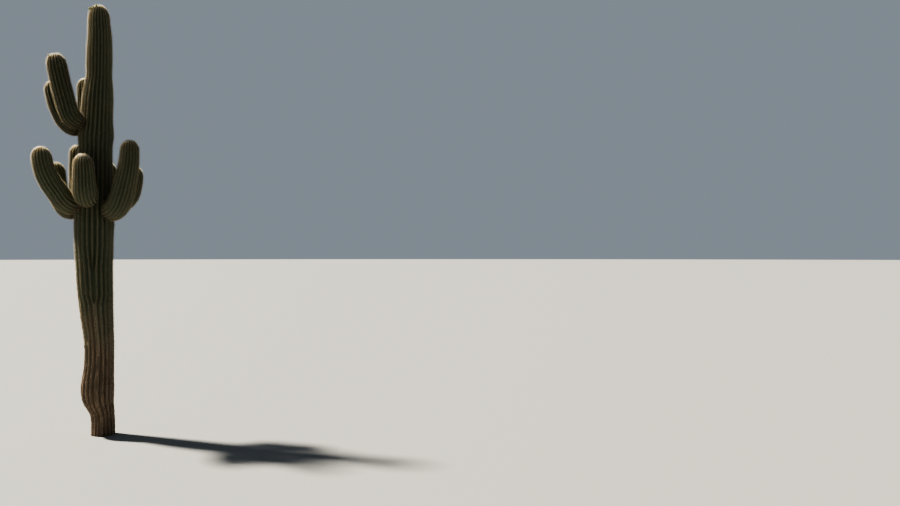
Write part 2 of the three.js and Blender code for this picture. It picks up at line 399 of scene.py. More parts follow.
    def _flank(self, share: np.ndarray) -> np.ndarray:
        """Returns how deep a rib's side lies at a share of the way from its crest to its groove."""
        soft = self.roundness
        return (np.sqrt(share**2 + soft**2) - soft) / (math.sqrt(1 + soft**2) - soft)


@dataclass(frozen=True)
class Places:
    """Where a stem's line runs at places along it, each field with one row a place.

    Attributes:
        centre: The line itself.
        ahead: Along the stem.
        outer: Out to the side that its angles are counted from.
        across: Out to the side a quarter turn on.
    """

    centre: np.ndarray
    ahead: np.ndarray
    outer: np.ndarray
    across: np.ndarray


@dataclass
class Sites:
    """Where a stem's areoles stand, each field with one row a site.

    Attributes:
        point: On the rib's crest.
        across: Over the rib.
        ahead: Up the rib.
        normal: Out of the rib.
        to_tip: How far up the rib its end is.
        cork: How corky the skin is there, from 0 to 1.
    """

    point: np.ndarray
    across: np.ndarray
    ahead: np.ndarray
    normal: np.ndarray
    to_tip: np.ndarray
    cork: np.ndarray

    def where(self, kept: np.ndarray) -> "Sites":
        """Returns only the sites that a row of truths keeps."""
        return Sites(**{name: values[kept] for name, values in vars(self).items()})

    def __len__(self) -> int:
        """How many sites there are."""
        return len(self.point)


@dataclass(frozen=True)
class AreoleSpacing:
    """How far apart the areoles stand on a rib.

    Attributes:
        old: Far below the tip.
        young: At the tip.
        crown: How far below the tip the spacing stops growing.
        unevenness: How far each is out of place, as a share of the spacing.
        first: How far up the first stands, as a share of the spacing.
        stagger: How much further up it stands on every other rib.
    """

    old: float
    young: float
    crown: float
    unevenness: float = 0.1
    first: float = 0.25
    stagger: float = 0.5


@dataclass(frozen=True)
class Extent:
    """Where the parts of a stem start, as places along it. Its end is rounded.

    Attributes:
        BLUNTNESS: How full the rounded end is, where 2 is an ellipse.
        LAST_AREOLE: How far up it the last areoles stand, as a share.
        skin: Where its skin starts.
        areoles: Where its first areoles stand.
        tip: Where its rounded end starts.
        end: Where it ends.
    """

    BLUNTNESS: ClassVar[float] = 2.2
    LAST_AREOLE: ClassVar[float] = 0.985

    skin: float
    areoles: float
    tip: float
    end: float

    def up_tip(self, share: Values) -> Values:
        """Returns the place at a share of the way up the rounded end."""
        return blend(self.tip, self.end, share)

    def on_tip(self, along: Values) -> np.ndarray:
        """Returns how far up the rounded end places are, from 0 to 1."""
        return np.clip((np.asarray(along, float) - self.tip) / (self.end - self.tip), 0, 1)

    def narrowing(self, along: Values) -> np.ndarray:
        """Returns what the rounded end leaves of the radius, 1 where it starts and 0 at its top."""
        return np.sqrt(np.maximum(1 - self.on_tip(along) ** self.BLUNTNESS, 0))

    def rings(self, step: float, on_tip: int) -> np.ndarray:
        """Places the skin's rings of points.

        Args:
            step: How far apart they are below the rounded end.
            on_tip: How many are on it, closer together towards its top.

        Returns:
            Their places, the last of them the end.
        """
        below = np.linspace(self.skin, self.tip, round((self.tip - self.skin) / step))
        return np.concatenate([below, self.up_tip(np.sin(np.pi / 2 * np.arange(1, on_tip + 1) / on_tip))])

    def crest_line(self, step: float) -> np.ndarray:
        """Returns places a step apart, from the first areoles to the last."""
        last = float(self.up_tip(self.LAST_AREOLE))
        return np.linspace(self.areoles, last, max(int((last - self.areoles) / step), 2))


class Stem(ABC):
    """A ribbed stem with a skin and areoles.

    Attributes:
        SKIN_INSET: How far the crests lie inside the solid's, to leave room for the spines.
        RING_STEP: How far apart the skin's rings of points are.
        TIP_RINGS: How many of them are on the rounded end.
        CREST_LINE_STEP: How far apart the points are that areoles are counted out along.
        GIRTH_WAVER: How much the girth wavers, as a share.
        GIRTH_LUMPS: How far apart its swellings stand.
        TUBERCLE: How far a crest rises round an areole.
        TUBERCLE_REACH: How far up and down the crest that is felt.
        TUBERCLE_DEPTH: How far down a rib's side it is felt, where the groove bottoms are at 1.
        TUBERCLE_LOSS: The share of it that cork hides.
        FLESH_RELIEF: The height of the skin's small lumps.
        FLESH_LUMPS: How far apart they stand.
        CORK_RELIEF: The height of the cork's lumps.
        CORK_LUMPS: How far apart they stand.
        CORK_LUMPS_TALL: How many times taller than wide they are.
        FINE_RADIUS: The radius below which the relief gets smaller.
    """

    SKIN_INSET = 0.010
    RING_STEP: ClassVar[float]
    TIP_RINGS: ClassVar[int]
    CREST_LINE_STEP = 0.004
    GIRTH_WAVER = 0.012
    GIRTH_LUMPS = 0.55
    TUBERCLE = 0.0042
    TUBERCLE_REACH = 0.0085
    TUBERCLE_DEPTH = 0.45
    TUBERCLE_LOSS = 0.7
    FLESH_RELIEF = 0.0016
    FLESH_LUMPS = 0.09
    CORK_RELIEF = 0.0028
    CORK_LUMPS = 0.040
    CORK_LUMPS_TALL = 1.4
    FINE_RADIUS = 0.05

    def __init__(self, name: str, nodes: Sequence[str], extent: Extent, ribs: RibRow,
                 spacing: AreoleSpacing, seed: int) -> None:
        """Keeps what every stem has.

        Args:
            name: The start of its pieces' names.
            nodes: The solids that its skin stands for.
            extent: Where its parts start.
            ribs: The ribs round it.
            spacing: How its areoles are spaced.
            seed: Which uneven places they and its lumps have.
        """
        self.name = name
        self.nodes = tuple(nodes)
        self.extent = extent
        self.ribs = ribs
        self.spacing = spacing
        self.seed = seed
        self.girth_lumps = Lumps(seed + 1, self.GIRTH_LUMPS)
        self.flesh_lumps = Lumps(seed + 2, self.FLESH_LUMPS)
        self.cork_lumps = Lumps(seed + 3, self.CORK_LUMPS, self.CORK_LUMPS_TALL)
        self.areole_rows: list[np.ndarray] = []

    @abstractmethod
    def course(self, along: np.ndarray) -> Places:
        """Returns the stem's line and its directions at places along it."""

    @abstractmethod
    def outer_radius(self, along: Values, inset: float = 0.0) -> np.ndarray:
        """Returns the solid's radius over its crests at places along the stem, less an inset."""

    @abstractmethod
    def rib_depth(self, along: np.ndarray) -> np.ndarray:
        """Returns the grooves' depth as a share of the radius at places along the stem."""

    @abstractmethod
    def cork(self, along: np.ndarray, points: np.ndarray) -> np.ndarray:
        """Returns how corky the skin is, from 0 to 1, at rows of points."""

    @abstractmethod
    def holds(self, points: np.ndarray, margin: float) -> np.ndarray:
        """Returns whether points lie inside the stem grown by a margin."""

    def places(self, along: np.ndarray) -> Places:
        """Returns the course, drawn back on the rounded end, so the skin's top is as deep as its sides."""
        course = self.course(along)
        back = self.SKIN_INSET * self.extent.on_tip(along)
        return replace(course, centre=course.centre - course.ahead * back[:, None])

    def surface(self, along: np.ndarray, angle: np.ndarray,
                depth: np.ndarray) -> tuple[np.ndarray, np.ndarray]:
        """Works out points over the stem without its fine relief.

        Args:
            along: Places along the stem, one a row.
            angle: The angle of each point of each row.
            depth: How deep each lies between the crests, 0, and the groove bottoms, 1.

        Returns:
            The points, and the level way out at each of them.
        """
        place = self.places(along)
        way_out = (place.outer[:, None] * np.cos(angle)[..., None]
                   + place.across[:, None] * np.sin(angle)[..., None])
        share = 1 - self.rib_depth(along)[:, None] * depth
        girth = self.outer_radius(along, self.SKIN_INSET)[:, None] * share
        bare = place.centre[:, None] + way_out * girth[..., None]
        wide = 1 + self.GIRTH_WAVER * self.girth_lumps.at(bare)
        return place.centre[:, None] + way_out * (girth * wide)[..., None], way_out

    def areoles(self) -> Sites:
        """Places the areoles in a row on each rib's crest, and keeps the rows for the skin, made next.

        Returns:
            The sites, none of them on a part of a rib that hasn't started.
        """
        rng = np.random.default_rng(self.seed)
        spacing = self.spacing
        along = self.extent.crest_line(self.CREST_LINE_STEP)
        angle, depth, stands = self.ribs.crests(along)
        crest, _ = self.surface(along, angle, depth)
        place = self.places(along)
        over = (-place.outer[:, None] * np.sin(angle)[..., None]
                + place.across[:, None] * np.cos(angle)[..., None])
        self.areole_rows = []
        found: list[Sites] = []
        for rib in range(len(self.ribs.ribs)):
            line = crest[:, rib]
            steps = np.linalg.norm(np.diff(line, axis=0), axis=1)
            to_tip = np.concatenate([np.cumsum(steps[::-1])[::-1], [0.0]])
            gap = blend(spacing.young, spacing.old, ease(to_tip, 0, spacing.crown))
            counted = np.concatenate([[0.0], np.cumsum(steps / gap[1:])])
            wanted = np.arange(int(counted[-1])) + spacing.first + spacing.stagger * (rib % 2)
            wanted += rng.uniform(-1, 1, len(wanted)) * spacing.unevenness
            at = np.interp(wanted, counted, along)
            at = at[np.interp(at, along, stands[:, rib].astype(float)) > 0.5]
            self.areole_rows.append(at)
            found.append(self._sites_on(at, along, line, over[:, rib], to_tip))
        joined = {name: np.concatenate([getattr(s, name) for s in found]) for name in vars(found[0])}
        return Sites(**joined)

    def _sites_on(self, at: np.ndarray, along: np.ndarray, line: np.ndarray, over: np.ndarray,
                  to_tip: np.ndarray) -> Sites:
        """Makes the sites of one rib.

        Args:
            at: Their places along the stem.
            along: The places that the other rows hold for.
            line: The crest's points.
            over: The way over the rib at each.
            to_tip: How far the rib's end is from each.

        Returns:
            The sites.
        """
        point = read_rows(at, along, line)
        ahead = unit(read_rows(at, along, np.gradient(line, along, axis=0)))
        across = unit(read_rows(at, along, over))
        normal = unit(np.cross(across, ahead))
        across = np.cross(ahead, normal)
        cork = self.cork(at, point[:, None])[:, 0] if len(at) else np.zeros(0)
        return Sites(point, across, ahead, normal, np.interp(at, along, to_tip), cork)

    def _tubercles(self, along: np.ndarray) -> np.ndarray:
        """Works out how far the crests rise round their areoles.

        Args:
            along: Places along the stem.

        Returns:
            The share of a full rise, one row a place and one column a rib.
        """
        rise = np.zeros((len(along), len(self.areole_rows)))
        for rib, at in enumerate(self.areole_rows):
            if len(at):
                last = len(at) - 1
                after = np.clip(np.searchsorted(at, along), min(1, last), last)
                near = np.minimum(np.abs(along - at[after]), np.abs(along - at[after - 1]))
                rise[:, rib] = np.exp(-(near / self.TUBERCLE_REACH) ** 2)
        return rise

    def skin(self, finish: "Finish") -> bpy.types.Object:
        """Makes the ribbed skin, closed at its tip and its foot.

        Args:
            finish: What it is finished in.

        Returns:
            The skin.
        """
        along = self.extent.rings(self.RING_STEP, self.TIP_RINGS)
        angle, depth = self.ribs.section(along)
        points, way_out = self.surface(along, angle, depth)
        cork = self.cork(along, points)
        lifted = np.repeat(self._tubercles(along), len(RibRow.COLUMN_SHARES), axis=1)
        on_crest = np.clip(1 - depth / self.TUBERCLE_DEPTH, 0, 1)
        relief = self.TUBERCLE * lifted * on_crest * (1 - self.TUBERCLE_LOSS * cork)
        relief += self.FLESH_RELIEF * self.flesh_lumps.at(points)
        ridges = 1 - 2 * np.abs(np.clip(self.cork_lumps.at(points), -1, 1))
        relief += cork * self.CORK_RELIEF * ridges
        fine = np.clip(self.outer_radius(along, self.SKIN_INSET) / self.FINE_RADIUS, 0, 1)[:, None]
        points = points + way_out * (relief * fine)[..., None]
        to_tip = np.broadcast_to((along[-1] - along)[:, None], depth.shape)
        skin = wrapped_grid(self.name + "_skin", points, {"groove": depth, "cork": cork, "to_tip": to_tip})
        skin.data.materials.append(finish.material())
        return skin


def read_rows(at: np.ndarray, along: np.ndarray, rows: np.ndarray) -> np.ndarray:
    """Returns rows of three numbers, which hold for places along a stem, at other places on it."""
    return np.stack([np.interp(at, along, rows[:, k]) for k in range(3)], axis=1)


def link(name: str, data: bpy.types.ID) -> bpy.types.Object:
    """Puts a mesh, a light or a camera into the scene.

    Args:
        name: The new object's name.
        data: What it shows.

    Returns:
        The object.
    """
    made = bpy.data.objects.new(name, data)
    bpy.context.scene.collection.objects.link(made)
    return made


def wrapped_grid(name: str, points: np.ndarray, shades: dict[str, np.ndarray]) -> bpy.types.Object:
    """Wraps a grid round a stem, joins its two sides and closes its ends.

    Args:
        name: The piece's name.
        points: Its points, one row a ring. The last ring is one point many times.
        shades: Values for the points, by the name that a material reads them by.

    Returns:
        The piece.
    """
    rings, columns = points.shape[:2]
    bm = bmesh.new()
    bmesh.ops.create_grid(bm, x_segments=columns, y_segments=rings - 1, size=0.5)
    mesh = bpy.data.meshes.new(name)
    bm.to_mesh(mesh)
    bm.free()
    flat = np.zeros(len(mesh.vertices) * 3, np.float32)
    mesh.vertices.foreach_get("co", flat)
    flat = flat.reshape(-1, 3)
    column = np.rint((flat[:, 0] + 0.5) * columns).astype(int) % columns
    ring = np.rint((flat[:, 1] + 0.5) * (rings - 1)).astype(int)
    mesh.vertices.foreach_set("co", points[ring, column].astype(np.float32).ravel())
    for key, values in shades.items():
        layer = mesh.attributes.new(key, "FLOAT", "POINT")
        layer.data.foreach_set("value", values[ring, column].astype(np.float32))
    bm = bmesh.new()
    bm.from_mesh(mesh)
    bmesh.ops.remove_doubles(bm, verts=bm.verts, dist=MERGE_DISTANCE)
    rim = [edge for edge in bm.edges if edge.is_boundary]
    filled = bmesh.ops.holes_fill(bm, edges=rim, sides=0)
    bmesh.ops.recalc_face_normals(bm, faces=bm.faces)
    for face in bm.faces:
        face.smooth = True
    for face in filled["faces"]:
        face.smooth = False
        for edge in face.edges:
            edge.smooth = False
    bm.to_mesh(mesh)
    bm.free()
    return link(name, mesh)


class Trunk(Stem):
    """The single upright column, with a flat foot on the ground and a rounded tip.

    Places along it are heights.

    Attributes:
        FORWARD_SHARE_OF_LEAN: How far it leans to the front for each metre to the left.
        CORK_EDGE: How high the cork's edge is, as a share of CORKY_HEIGHT.
        CORK_EDGE_WAVER: How far up and down it runs.
        CORK_EDGE_LUMPS: How far apart its ups and downs stand.
        CORK_EDGE_LUMPS_TALL: How many times taller than wide they are.
        CORK_FADE: Where the skin is corky all over and where it is no longer, above the edge.
        FRONT_ANGLE: The angle round the trunk that azimuth 0 has.
        FORKS_AZIMUTH: Where the rib stands that the forks are counted from.
    """

    TOP = 6.582
    SHOULDER = 6.335
    FORWARD_SHARE_OF_LEAN = 0.3
    RIB_DEPTH = 0.155
    FOOT_RIB_DEPTH = 0.10
    CORKY_HEIGHT = 1.5
    CORK_EDGE = 0.8
    CORK_EDGE_WAVER = 0.14
    CORK_EDGE_LUMPS = 0.35
    CORK_EDGE_LUMPS_TALL = 1.6
    CORK_FADE = (-0.8, 1.3)
    RING_STEP = 0.013
    TIP_RINGS = 22
    FIRST_AREOLE = 0.07
    SPACING = AreoleSpacing(old=0.026, young=0.014, crown=0.55)
    ROUNDNESS = 0.42
    PLAIN_RIBS = 18
    FRONT_ANGLE = -90.0
    FORKS_AZIMUTH = -5.0
    FORKS = (
        Fork(ForkKind.GROOVE, 0, 2.01),
        Fork(ForkKind.RIB, 0, 2.48),
        Fork(ForkKind.GROOVE, 6, 1.35),
        Fork(ForkKind.RIB, 12, 1.75),
        Fork(ForkKind.RIB, 9, 2.95),
    )

    def __init__(self) -> None:
        """Reads the sizes and lays out the ribs."""
        middle = math.radians(self.FORKS_AZIMUTH + self.FRONT_ANGLE)
        ribs = RibRow(self.PLAIN_RIBS, self.FORKS, middle, self.ROUNDNESS, FIRST_SEED)
        extent = Extent(skin=0.0, areoles=self.FIRST_AREOLE, tip=self.SHOULDER, end=self.TOP)
        super().__init__("trunk", ["trunk"], extent, ribs, self.SPACING, FIRST_SEED + 10)
        heights = [s.height for s in TRUNK_STATIONS]
        self.radius_line = SmoothLine(heights, [s.radius for s in TRUNK_STATIONS])
        self.lean_line = SmoothLine(heights, [s.lean for s in TRUNK_STATIONS])
        self.cork_edge = Lumps(FIRST_SEED + 20, self.CORK_EDGE_LUMPS, self.CORK_EDGE_LUMPS_TALL)

    def axis(self, height: Values) -> np.ndarray:
        """Returns the middle of the trunk at heights."""
        lean = self.lean_line.at(height)
        return np.stack([-lean, -lean * self.FORWARD_SHARE_OF_LEAN, np.asarray(height, float)], axis=-1)

    def course(self, along: np.ndarray) -> Places:
        """Returns the axis and level directions at heights."""
        rows = np.ones((len(along), 1))
        return Places(self.axis(along), UP * rows, RIGHT * rows, BACK * rows)

    def outer_radius(self, along: Values, inset: float = 0.0) -> np.ndarray:
        """Returns the solid's radius over its crests at heights, less an inset."""
        return (self.radius_line.at(along) - inset) * self.extent.narrowing(along)

    def rib_depth(self, along: np.ndarray) -> np.ndarray:
        """Returns the grooves' depth as a share of the radius at heights."""
        return blend(self.FOOT_RIB_DEPTH, self.RIB_DEPTH, ease(along, 0, self.CORKY_HEIGHT))

    def cork(self, along: np.ndarray, points: np.ndarray) -> np.ndarray:
        """Returns how corky the skin is, from all over at the foot to none above an uneven edge."""
        edge = self.CORKY_HEIGHT * (self.CORK_EDGE + self.CORK_EDGE_WAVER * self.cork_edge.at(points))
        return 1 - ease(points[..., 2] - edge, *self.CORK_FADE)

    def holds(self, points: np.ndarray, margin: float) -> np.ndarray:
        """Returns whether points lie inside the trunk grown by a margin."""
        offset = (points - self.axis(points[:, 2]))[:, :2]
        return np.linalg.norm(offset, axis=1) < self.outer_radius(points[:, 2]) + margin


@dataclass(frozen=True)
class ArmSizes:
    """The sizes of one arm.

    Attributes:
        name: The start of its nodes' names.
        azimuth: Which way it leaves the trunk, in degrees.
        joint_height: Where it leaves the trunk's axis.
        root_slope: How steeply it leaves, in degrees.
        foot_reach: How far out its upright column starts.
        foot_height: How high its upright column starts.
        foot_lean: How far the column leans out there, in degrees.
        tip_reach: How far out its tip stands.
        tip_height: How high its tip stands.
        neck: Its radius where it leaves the trunk.
        girth: Its radius at the elbow.
        tip_girth: Its radius below the rounded tip.
        ribs: How many ribs it has at its tip.
        buds: How many buds stand on its tip.
    """

    name: str
    azimuth: float
    joint_height: float
    root_slope: float
    foot_reach: float
    foot_height: float
    foot_lean: float
    tip_reach: float
    tip_height: float
    neck: float
    girth: float
    tip_girth: float
    ribs: int
    buds: int = 0


ARMS = (
    ArmSizes("upper_left_front", -62, 4.716, 6, 0.462, 4.965, 17, 0.646, 5.730, 0.093, 0.148, 0.143, 18, 1),
    ArmSizes("upper_left_back", -106, 4.655, -4, 0.541, 4.950, 24, 0.647, 5.406, 0.083, 0.132, 0.126, 16),
    ArmSizes("upper_back", -161, 4.620, 0, 0.445, 4.900, 6, 0.490, 5.527, 0.081, 0.130, 0.124, 16),
    ArmSizes("lower_left_front", -62, 3.505, -8, 0.626, 3.760, 40, 0.812, 4.337, 0.100, 0.164, 0.142, 18),
    ArmSizes("lower_left_back", -111, 3.395, -6, 0.530, 3.670, 12, 0.590, 4.173, 0.088, 0.144, 0.133, 17),
    ArmSizes("lower_back_left", -153, 3.380, -4, 0.540, 3.640, 6, 0.552, 4.476, 0.081, 0.126, 0.114, 15, 2),
    ArmSizes("lower_front", -16, 3.640, -8, 0.510, 3.830, 6, 0.572, 4.240, 0.106, 0.175, 0.139, 21),
    ArmSizes("lower_right_front", 43, 3.440, -14, 0.598, 3.720, 22, 0.720, 4.472, 0.104, 0.178, 0.137, 20),
    ArmSizes("lower_right_back", 102, 3.530, -6, 0.562, 3.780, 12, 0.598, 4.140, 0.088, 0.140, 0.132, 17),
    ArmSizes("lower_back_right", 156, 3.420, -2, 0.500, 3.660, 4, 0.530, 4.215, 0.079, 0.122, 0.116, 15),
)


def bezier(handles: Sequence[np.ndarray], t: np.ndarray) -> np.ndarray:
    """Reads a Bezier curve.

    Args:
        handles: Its ends and what lies between them.
        t: Shares of the way along it.

    Returns:
        A row of points.
    """
    level = [np.broadcast_to(h, (len(t), 3)) for h in handles]
    while len(level) > 1:
        level = [blend(low, high, t[:, None]) for low, high in zip(level, level[1:])]
    return level[0]


class Arm(Stem):
    """An arm that leaves the trunk, bends up at its elbow and ends in a rounded tip.

    Places along it are lengths from the trunk's axis.

    Attributes:
        DEEPENING: How far out of the trunk its grooves reach their full depth.
        SWELL_LENGTH: How far out of the trunk it reaches its full girth.
        TAPER_START: The share of its length where the girth starts to change to the tip's.
        ROOT_HANDLE_SHARE: How far it keeps its first direction, as a share of its reach.
        FOOT_HANDLE_SHARE: How soon the elbow comes upright, in girths.
        TIP_LENGTH: The rounded tip's length, in the girths there.
        ROOT_START_SHARE: The share of the trunk's radius that its skin starts from.
        FIRST_AREOLE_SHARE: The share that its first areoles stand at.
        NECK_CORK: How corky its neck is.
        NECK_CORK_LENGTH: How far out of the trunk that reaches.
        LATE_RIBS: How many of its ribs start on the way up.
        LATE_RIB_SLOTS: How far round they are from the middle of its outer side, in ribs.
        LATE_RIB_STARTS: How far out of the trunk they start.
        CORE_POINTS: How many points stand for its line where it is tested what it holds.
    """

    RIB_DEPTH = 0.155
    NECK_RIB_DEPTH = 0.07
    DEEPENING = 0.45
    SWELL_LENGTH = 0.17
    TAPER_START = 0.4
    ROOT_HANDLE_SHARE = 0.78
    FOOT_HANDLE_SHARE = 1.15
    TIP_LENGTH = 1.3
    ROOT_START_SHARE = 0.6
    FIRST_AREOLE_SHARE = 0.8
    RING_STEP = 0.008
    TIP_RINGS = 18
    LINE_POINTS = 500
    CORE_POINTS = 90
    SPACING = AreoleSpacing(old=0.025, young=0.013, crown=0.4)
    ROUNDNESS = 0.34
    NECK_CORK = 0.45
    NECK_CORK_LENGTH = 0.2
    LATE_RIBS = 1
    LATE_RIB_SLOTS = (-2, 3)
    LATE_RIB_STARTS = (0.35, 0.6)

    def __init__(self, sizes: ArmSizes, trunk: Trunk, seed: int) -> None:
        """Lays out its line and its ribs.

        Args:
            sizes: Its sizes.
            trunk: What it grows from.
            seed: Which forks and uneven places it has.
        """
        self.sizes = sizes
        self.trunk_radius = float(trunk.radius_line.at(sizes.joint_height))
        self.side = np.cross(UP, heading(sizes.azimuth))
        self._lay_line(trunk)
        self.length = float(self.lengths[-1])
        extent = Extent(skin=self.trunk_radius * self.ROOT_START_SHARE,
                        areoles=self.trunk_radius * self.FIRST_AREOLE_SHARE,
                        tip=self.length - sizes.tip_girth * self.TIP_LENGTH,
                        end=self.length)
        rng = np.random.default_rng(seed)
        plain = sizes.ribs - self.LATE_RIBS
        slots = plain // 2 + rng.integers(*self.LATE_RIB_SLOTS, self.LATE_RIBS)
        starts = self.trunk_radius + rng.uniform(*self.LATE_RIB_STARTS, self.LATE_RIBS)
        forks = [Fork(ForkKind.RIB, int(slot), float(start)) for slot, start in zip(slots, starts)]
        ribs = RibRow(plain, forks, 0.0, self.ROUNDNESS, seed + 5)
        nodes = [sizes.name + "_elbow", sizes.name + "_arm"]
        super().__init__(sizes.name, nodes, extent, ribs, self.SPACING, seed)

    def _lay_line(self, trunk: Trunk) -> None:
        """Works out the line from the trunk's axis round the elbow and up the column.

        Args:
            trunk: What the arm grows from.
        """
        size = self.sizes
        outward = heading(size.azimuth)

        def tilted(degrees_up: float) -> np.ndarray:
            """Returns the outward direction tilted up."""
            angle = math.radians(degrees_up)
            return outward * math.cos(angle) + UP * math.sin(angle)

        root = trunk.axis(size.joint_height)
        foot = root + outward * size.foot_reach
        foot[2] = size.foot_height
        tip = root + outward * size.tip_reach
        tip[2] = size.tip_height
        foot_aim = tilted(90 - size.foot_lean)
        root_handle = root + tilted(size.root_slope) * size.foot_reach * self.ROOT_HANDLE_SHARE
        foot_handle = foot - foot_aim * size.girth * self.FOOT_HANDLE_SHARE
        column_handle = foot + foot_aim * np.linalg.norm(foot - tip) / 2
        t = np.linspace(0, 1, self.LINE_POINTS)
        elbow = bezier([root, root_handle, foot_handle, foot], t)
        column = bezier([foot, column_handle, tip], t)
        self.line = np.concatenate([elbow, column[1:]])
        steps = np.linalg.norm(np.diff(self.line, axis=0), axis=1)
        self.lengths = np.concatenate([[0.0], np.cumsum(steps)])
        self.aims = unit(np.gradient(self.line, self.lengths, axis=0))

    def course(self, along: np.ndarray) -> Places:
        """Reads the line.

        Args:
            along: Lengths along it.

        Returns:
            The line there, with the directions ahead, to the outer side of the bend and across.
        """
        centre = read_rows(along, self.lengths, self.line)
        ahead = unit(read_rows(along, self.lengths, self.aims))
        outer = unit(np.cross(np.broadcast_to(self.side, ahead.shape), ahead))
        return Places(centre, ahead, outer, np.cross(ahead, outer))

    def outer_radius(self, along: Values, inset: float = 0.0) -> np.ndarray:
        """Works out the radius over the rib crests.

        Args:
            along: Lengths along the line.
            inset: How far inside the solid's surface.

        Returns:
            The radius at each length.
        """
        size = self.sizes
        swell = np.clip((along - self.trunk_radius) / self.SWELL_LENGTH, 0, 1)
        stout = blend(size.girth, size.tip_girth, ease(along / self.length, self.TAPER_START, 1))
        body = blend(size.neck, stout, np.sqrt(1 - (1 - swell) ** 2))
        return (body - inset) * self.extent.narrowing(along)

    def rib_depth(self, along: np.ndarray) -> np.ndarray:
        """Returns the grooves' depth as a share of the radius at lengths along the line."""
        grown = ease(along - self.trunk_radius, 0, self.DEEPENING)
        return blend(self.NECK_RIB_DEPTH, self.RIB_DEPTH, grown)

    def cork(self, along: np.ndarray, points: np.ndarray) -> np.ndarray:
        """Returns how corky the skin is: a little at the neck."""
        out = np.clip((along - self.trunk_radius) / self.NECK_CORK_LENGTH, 0, 1)
        return np.broadcast_to((self.NECK_CORK * (1 - out))[:, None], points.shape[:-1])

    def holds(self, points: np.ndarray, margin: float) -> np.ndarray:
        """Tests which points lie inside the arm.

        Args:
            points: The points.
            margin: How much it is grown for that.

        Returns:
            Whether each point does.
        """
        along = np.linspace(0, self.length, self.CORE_POINTS)
        gaps = np.linalg.norm(points[:, None] - self.places(along).centre[None], axis=2)
        return (gaps < self.outer_radius(along)[None] + margin).any(axis=1)


class Finish(ABC):
    """How a kind of surface looks."""

    made: ClassVar[dict["Finish", bpy.types.Material]] = {}

    def material(self) -> bpy.types.Material:
        """Returns the material, made once."""
        if self not in self.made:
            self.made[self] = self._new_material()
        return self.made[self]

    @abstractmethod
    def _new_material(self) -> bpy.types.Material:
        """Makes the material."""


@dataclass(frozen=True)
class Noise:
    """A pattern of random lumps.

    Attributes:
        fineness: How many there are to a metre.
        detail: How many finer layers they have.
        squeeze: How much closer together they are along each axis.
    """

    fineness: float
    detail: float
    squeeze: tuple[float, float, float] = (1.0, 1.0, 1.0)


@dataclass(frozen=True)
class Cover:
    """How a layer of colour follows a pattern.

    Attributes:
        bare: The pattern's value where the layer doesn't show.
        full: Its value where the layer shows most.
        most: How much it shows there.
    """

    bare: float
    full: float
    most: float = 1.0


class NodeSheet:
    """A material's nodes."""

    MIX_FACTOR = 0
    MIX_LOW = 6
    MIX_HIGH = 7
    MIX_RESULT = 2

    def __init__(self, name: str, own: dict[str, object]) -> None:
        """Starts a material with a shader of its own.

        Args:
            name: The material's name.
            own: What is the same all over the surface, by the name of the shader's socket.
        """
        self.made = bpy.data.materials.new(name)
        self.made.use_nodes = True
        self.tree = self.made.node_tree
        self.shader = self.tree.nodes["Principled BSDF"]
        for key, value in own.items():
            self.shader.inputs[key].default_value = value

    def add(self, kind: str, inputs: dict[str | int, object], **settings: object) -> bpy.types.Node:
        """Adds a node.

        Args:
            kind: Its type.
            inputs: A value, a colour or another node's output for each socket named.
            settings: Its own settings.

        Returns:
            The node.
        """
        node = self.tree.nodes.new(kind)
        for key, value in settings.items():
            setattr(node, key, value)
        for key, value in inputs.items():
            if isinstance(value, bpy.types.NodeSocket):
                self.tree.links.new(value, node.inputs[key])
            else:
                node.inputs[key].default_value = value
        return node

    def shade(self, name: str) -> bpy.types.NodeSocket:
        """Returns a value that the mesh's points hold."""
        return self.add("ShaderNodeAttribute", {}, attribute_name=name).outputs["Fac"]

    def noise(self, noise: Noise) -> bpy.types.NodeSocket:
        """Returns a pattern over the object."""
        spot = self.add("ShaderNodeTexCoord", {}).outputs["Object"]
        place = self.add("ShaderNodeMapping", {"Vector": spot, "Scale": noise.squeeze}).outputs["Vector"]
        inputs = {"Vector": place, "Scale": noise.fineness, "Detail": noise.detail}
        return self.add("ShaderNodeTexNoise", inputs).outputs["Fac"]

    def maths(self, operation: str, first: bpy.types.NodeSocket,
              second: bpy.types.NodeSocket | float) -> bpy.types.NodeSocket:
        """Returns what an operation makes of two values."""
        return self.add("ShaderNodeMath", {0: first, 1: second}, operation=operation).outputs[0]

    def layer(self, low: bpy.types.NodeSocket | Colour, high: Colour | bpy.types.NodeSocket,
              pattern: bpy.types.NodeSocket, cover: Cover) -> bpy.types.NodeSocket:
        """Lays one colour over another.

        Args:
            low: The colour below.
            high: The colour on top.
            pattern: What the top colour follows.
            cover: How it follows that.

        Returns:
            The colour that shows.
        """
        inputs = {"Value": pattern, "From Min": cover.bare, "From Max": cover.full}
        ramp = self.add("ShaderNodeMapRange", inputs, interpolation_type="SMOOTHSTEP").outputs["Result"]
        share = ramp if cover.most == 1.0 else self.maths("MULTIPLY", ramp, cover.most)
        colours = [(*c, 1.0) if isinstance(c, tuple) else c for c in (low, high)]
        inputs = {self.MIX_FACTOR: share, self.MIX_LOW: colours[0], self.MIX_HIGH: colours[1]}
        return self.add("ShaderNodeMix", inputs, data_type="RGBA").outputs[self.MIX_RESULT]

    def bump(self, height: bpy.types.NodeSocket, strength: float, distance: float,
             below: bpy.types.NodeSocket | None = None) -> bpy.types.NodeSocket:
        """Makes relief.

        Args:
            height: How high the surface stands, from 0 to 1.
            strength: How much of it is felt.
            distance: How high 1 is.
            below: The relief that it lies on.

        Returns:
            The surface's direction.
        """
        inputs = {"Height": height, "Strength": strength, "Distance": distance}
        if below is not None:
            inputs["Normal"] = below
        return self.add("ShaderNodeBump", inputs).outputs["Normal"]

    def wire(self, name: str, value: bpy.types.NodeSocket) -> None:
        """Links a value to the shader."""
        self.tree.links.new(value, self.shader.inputs[name])


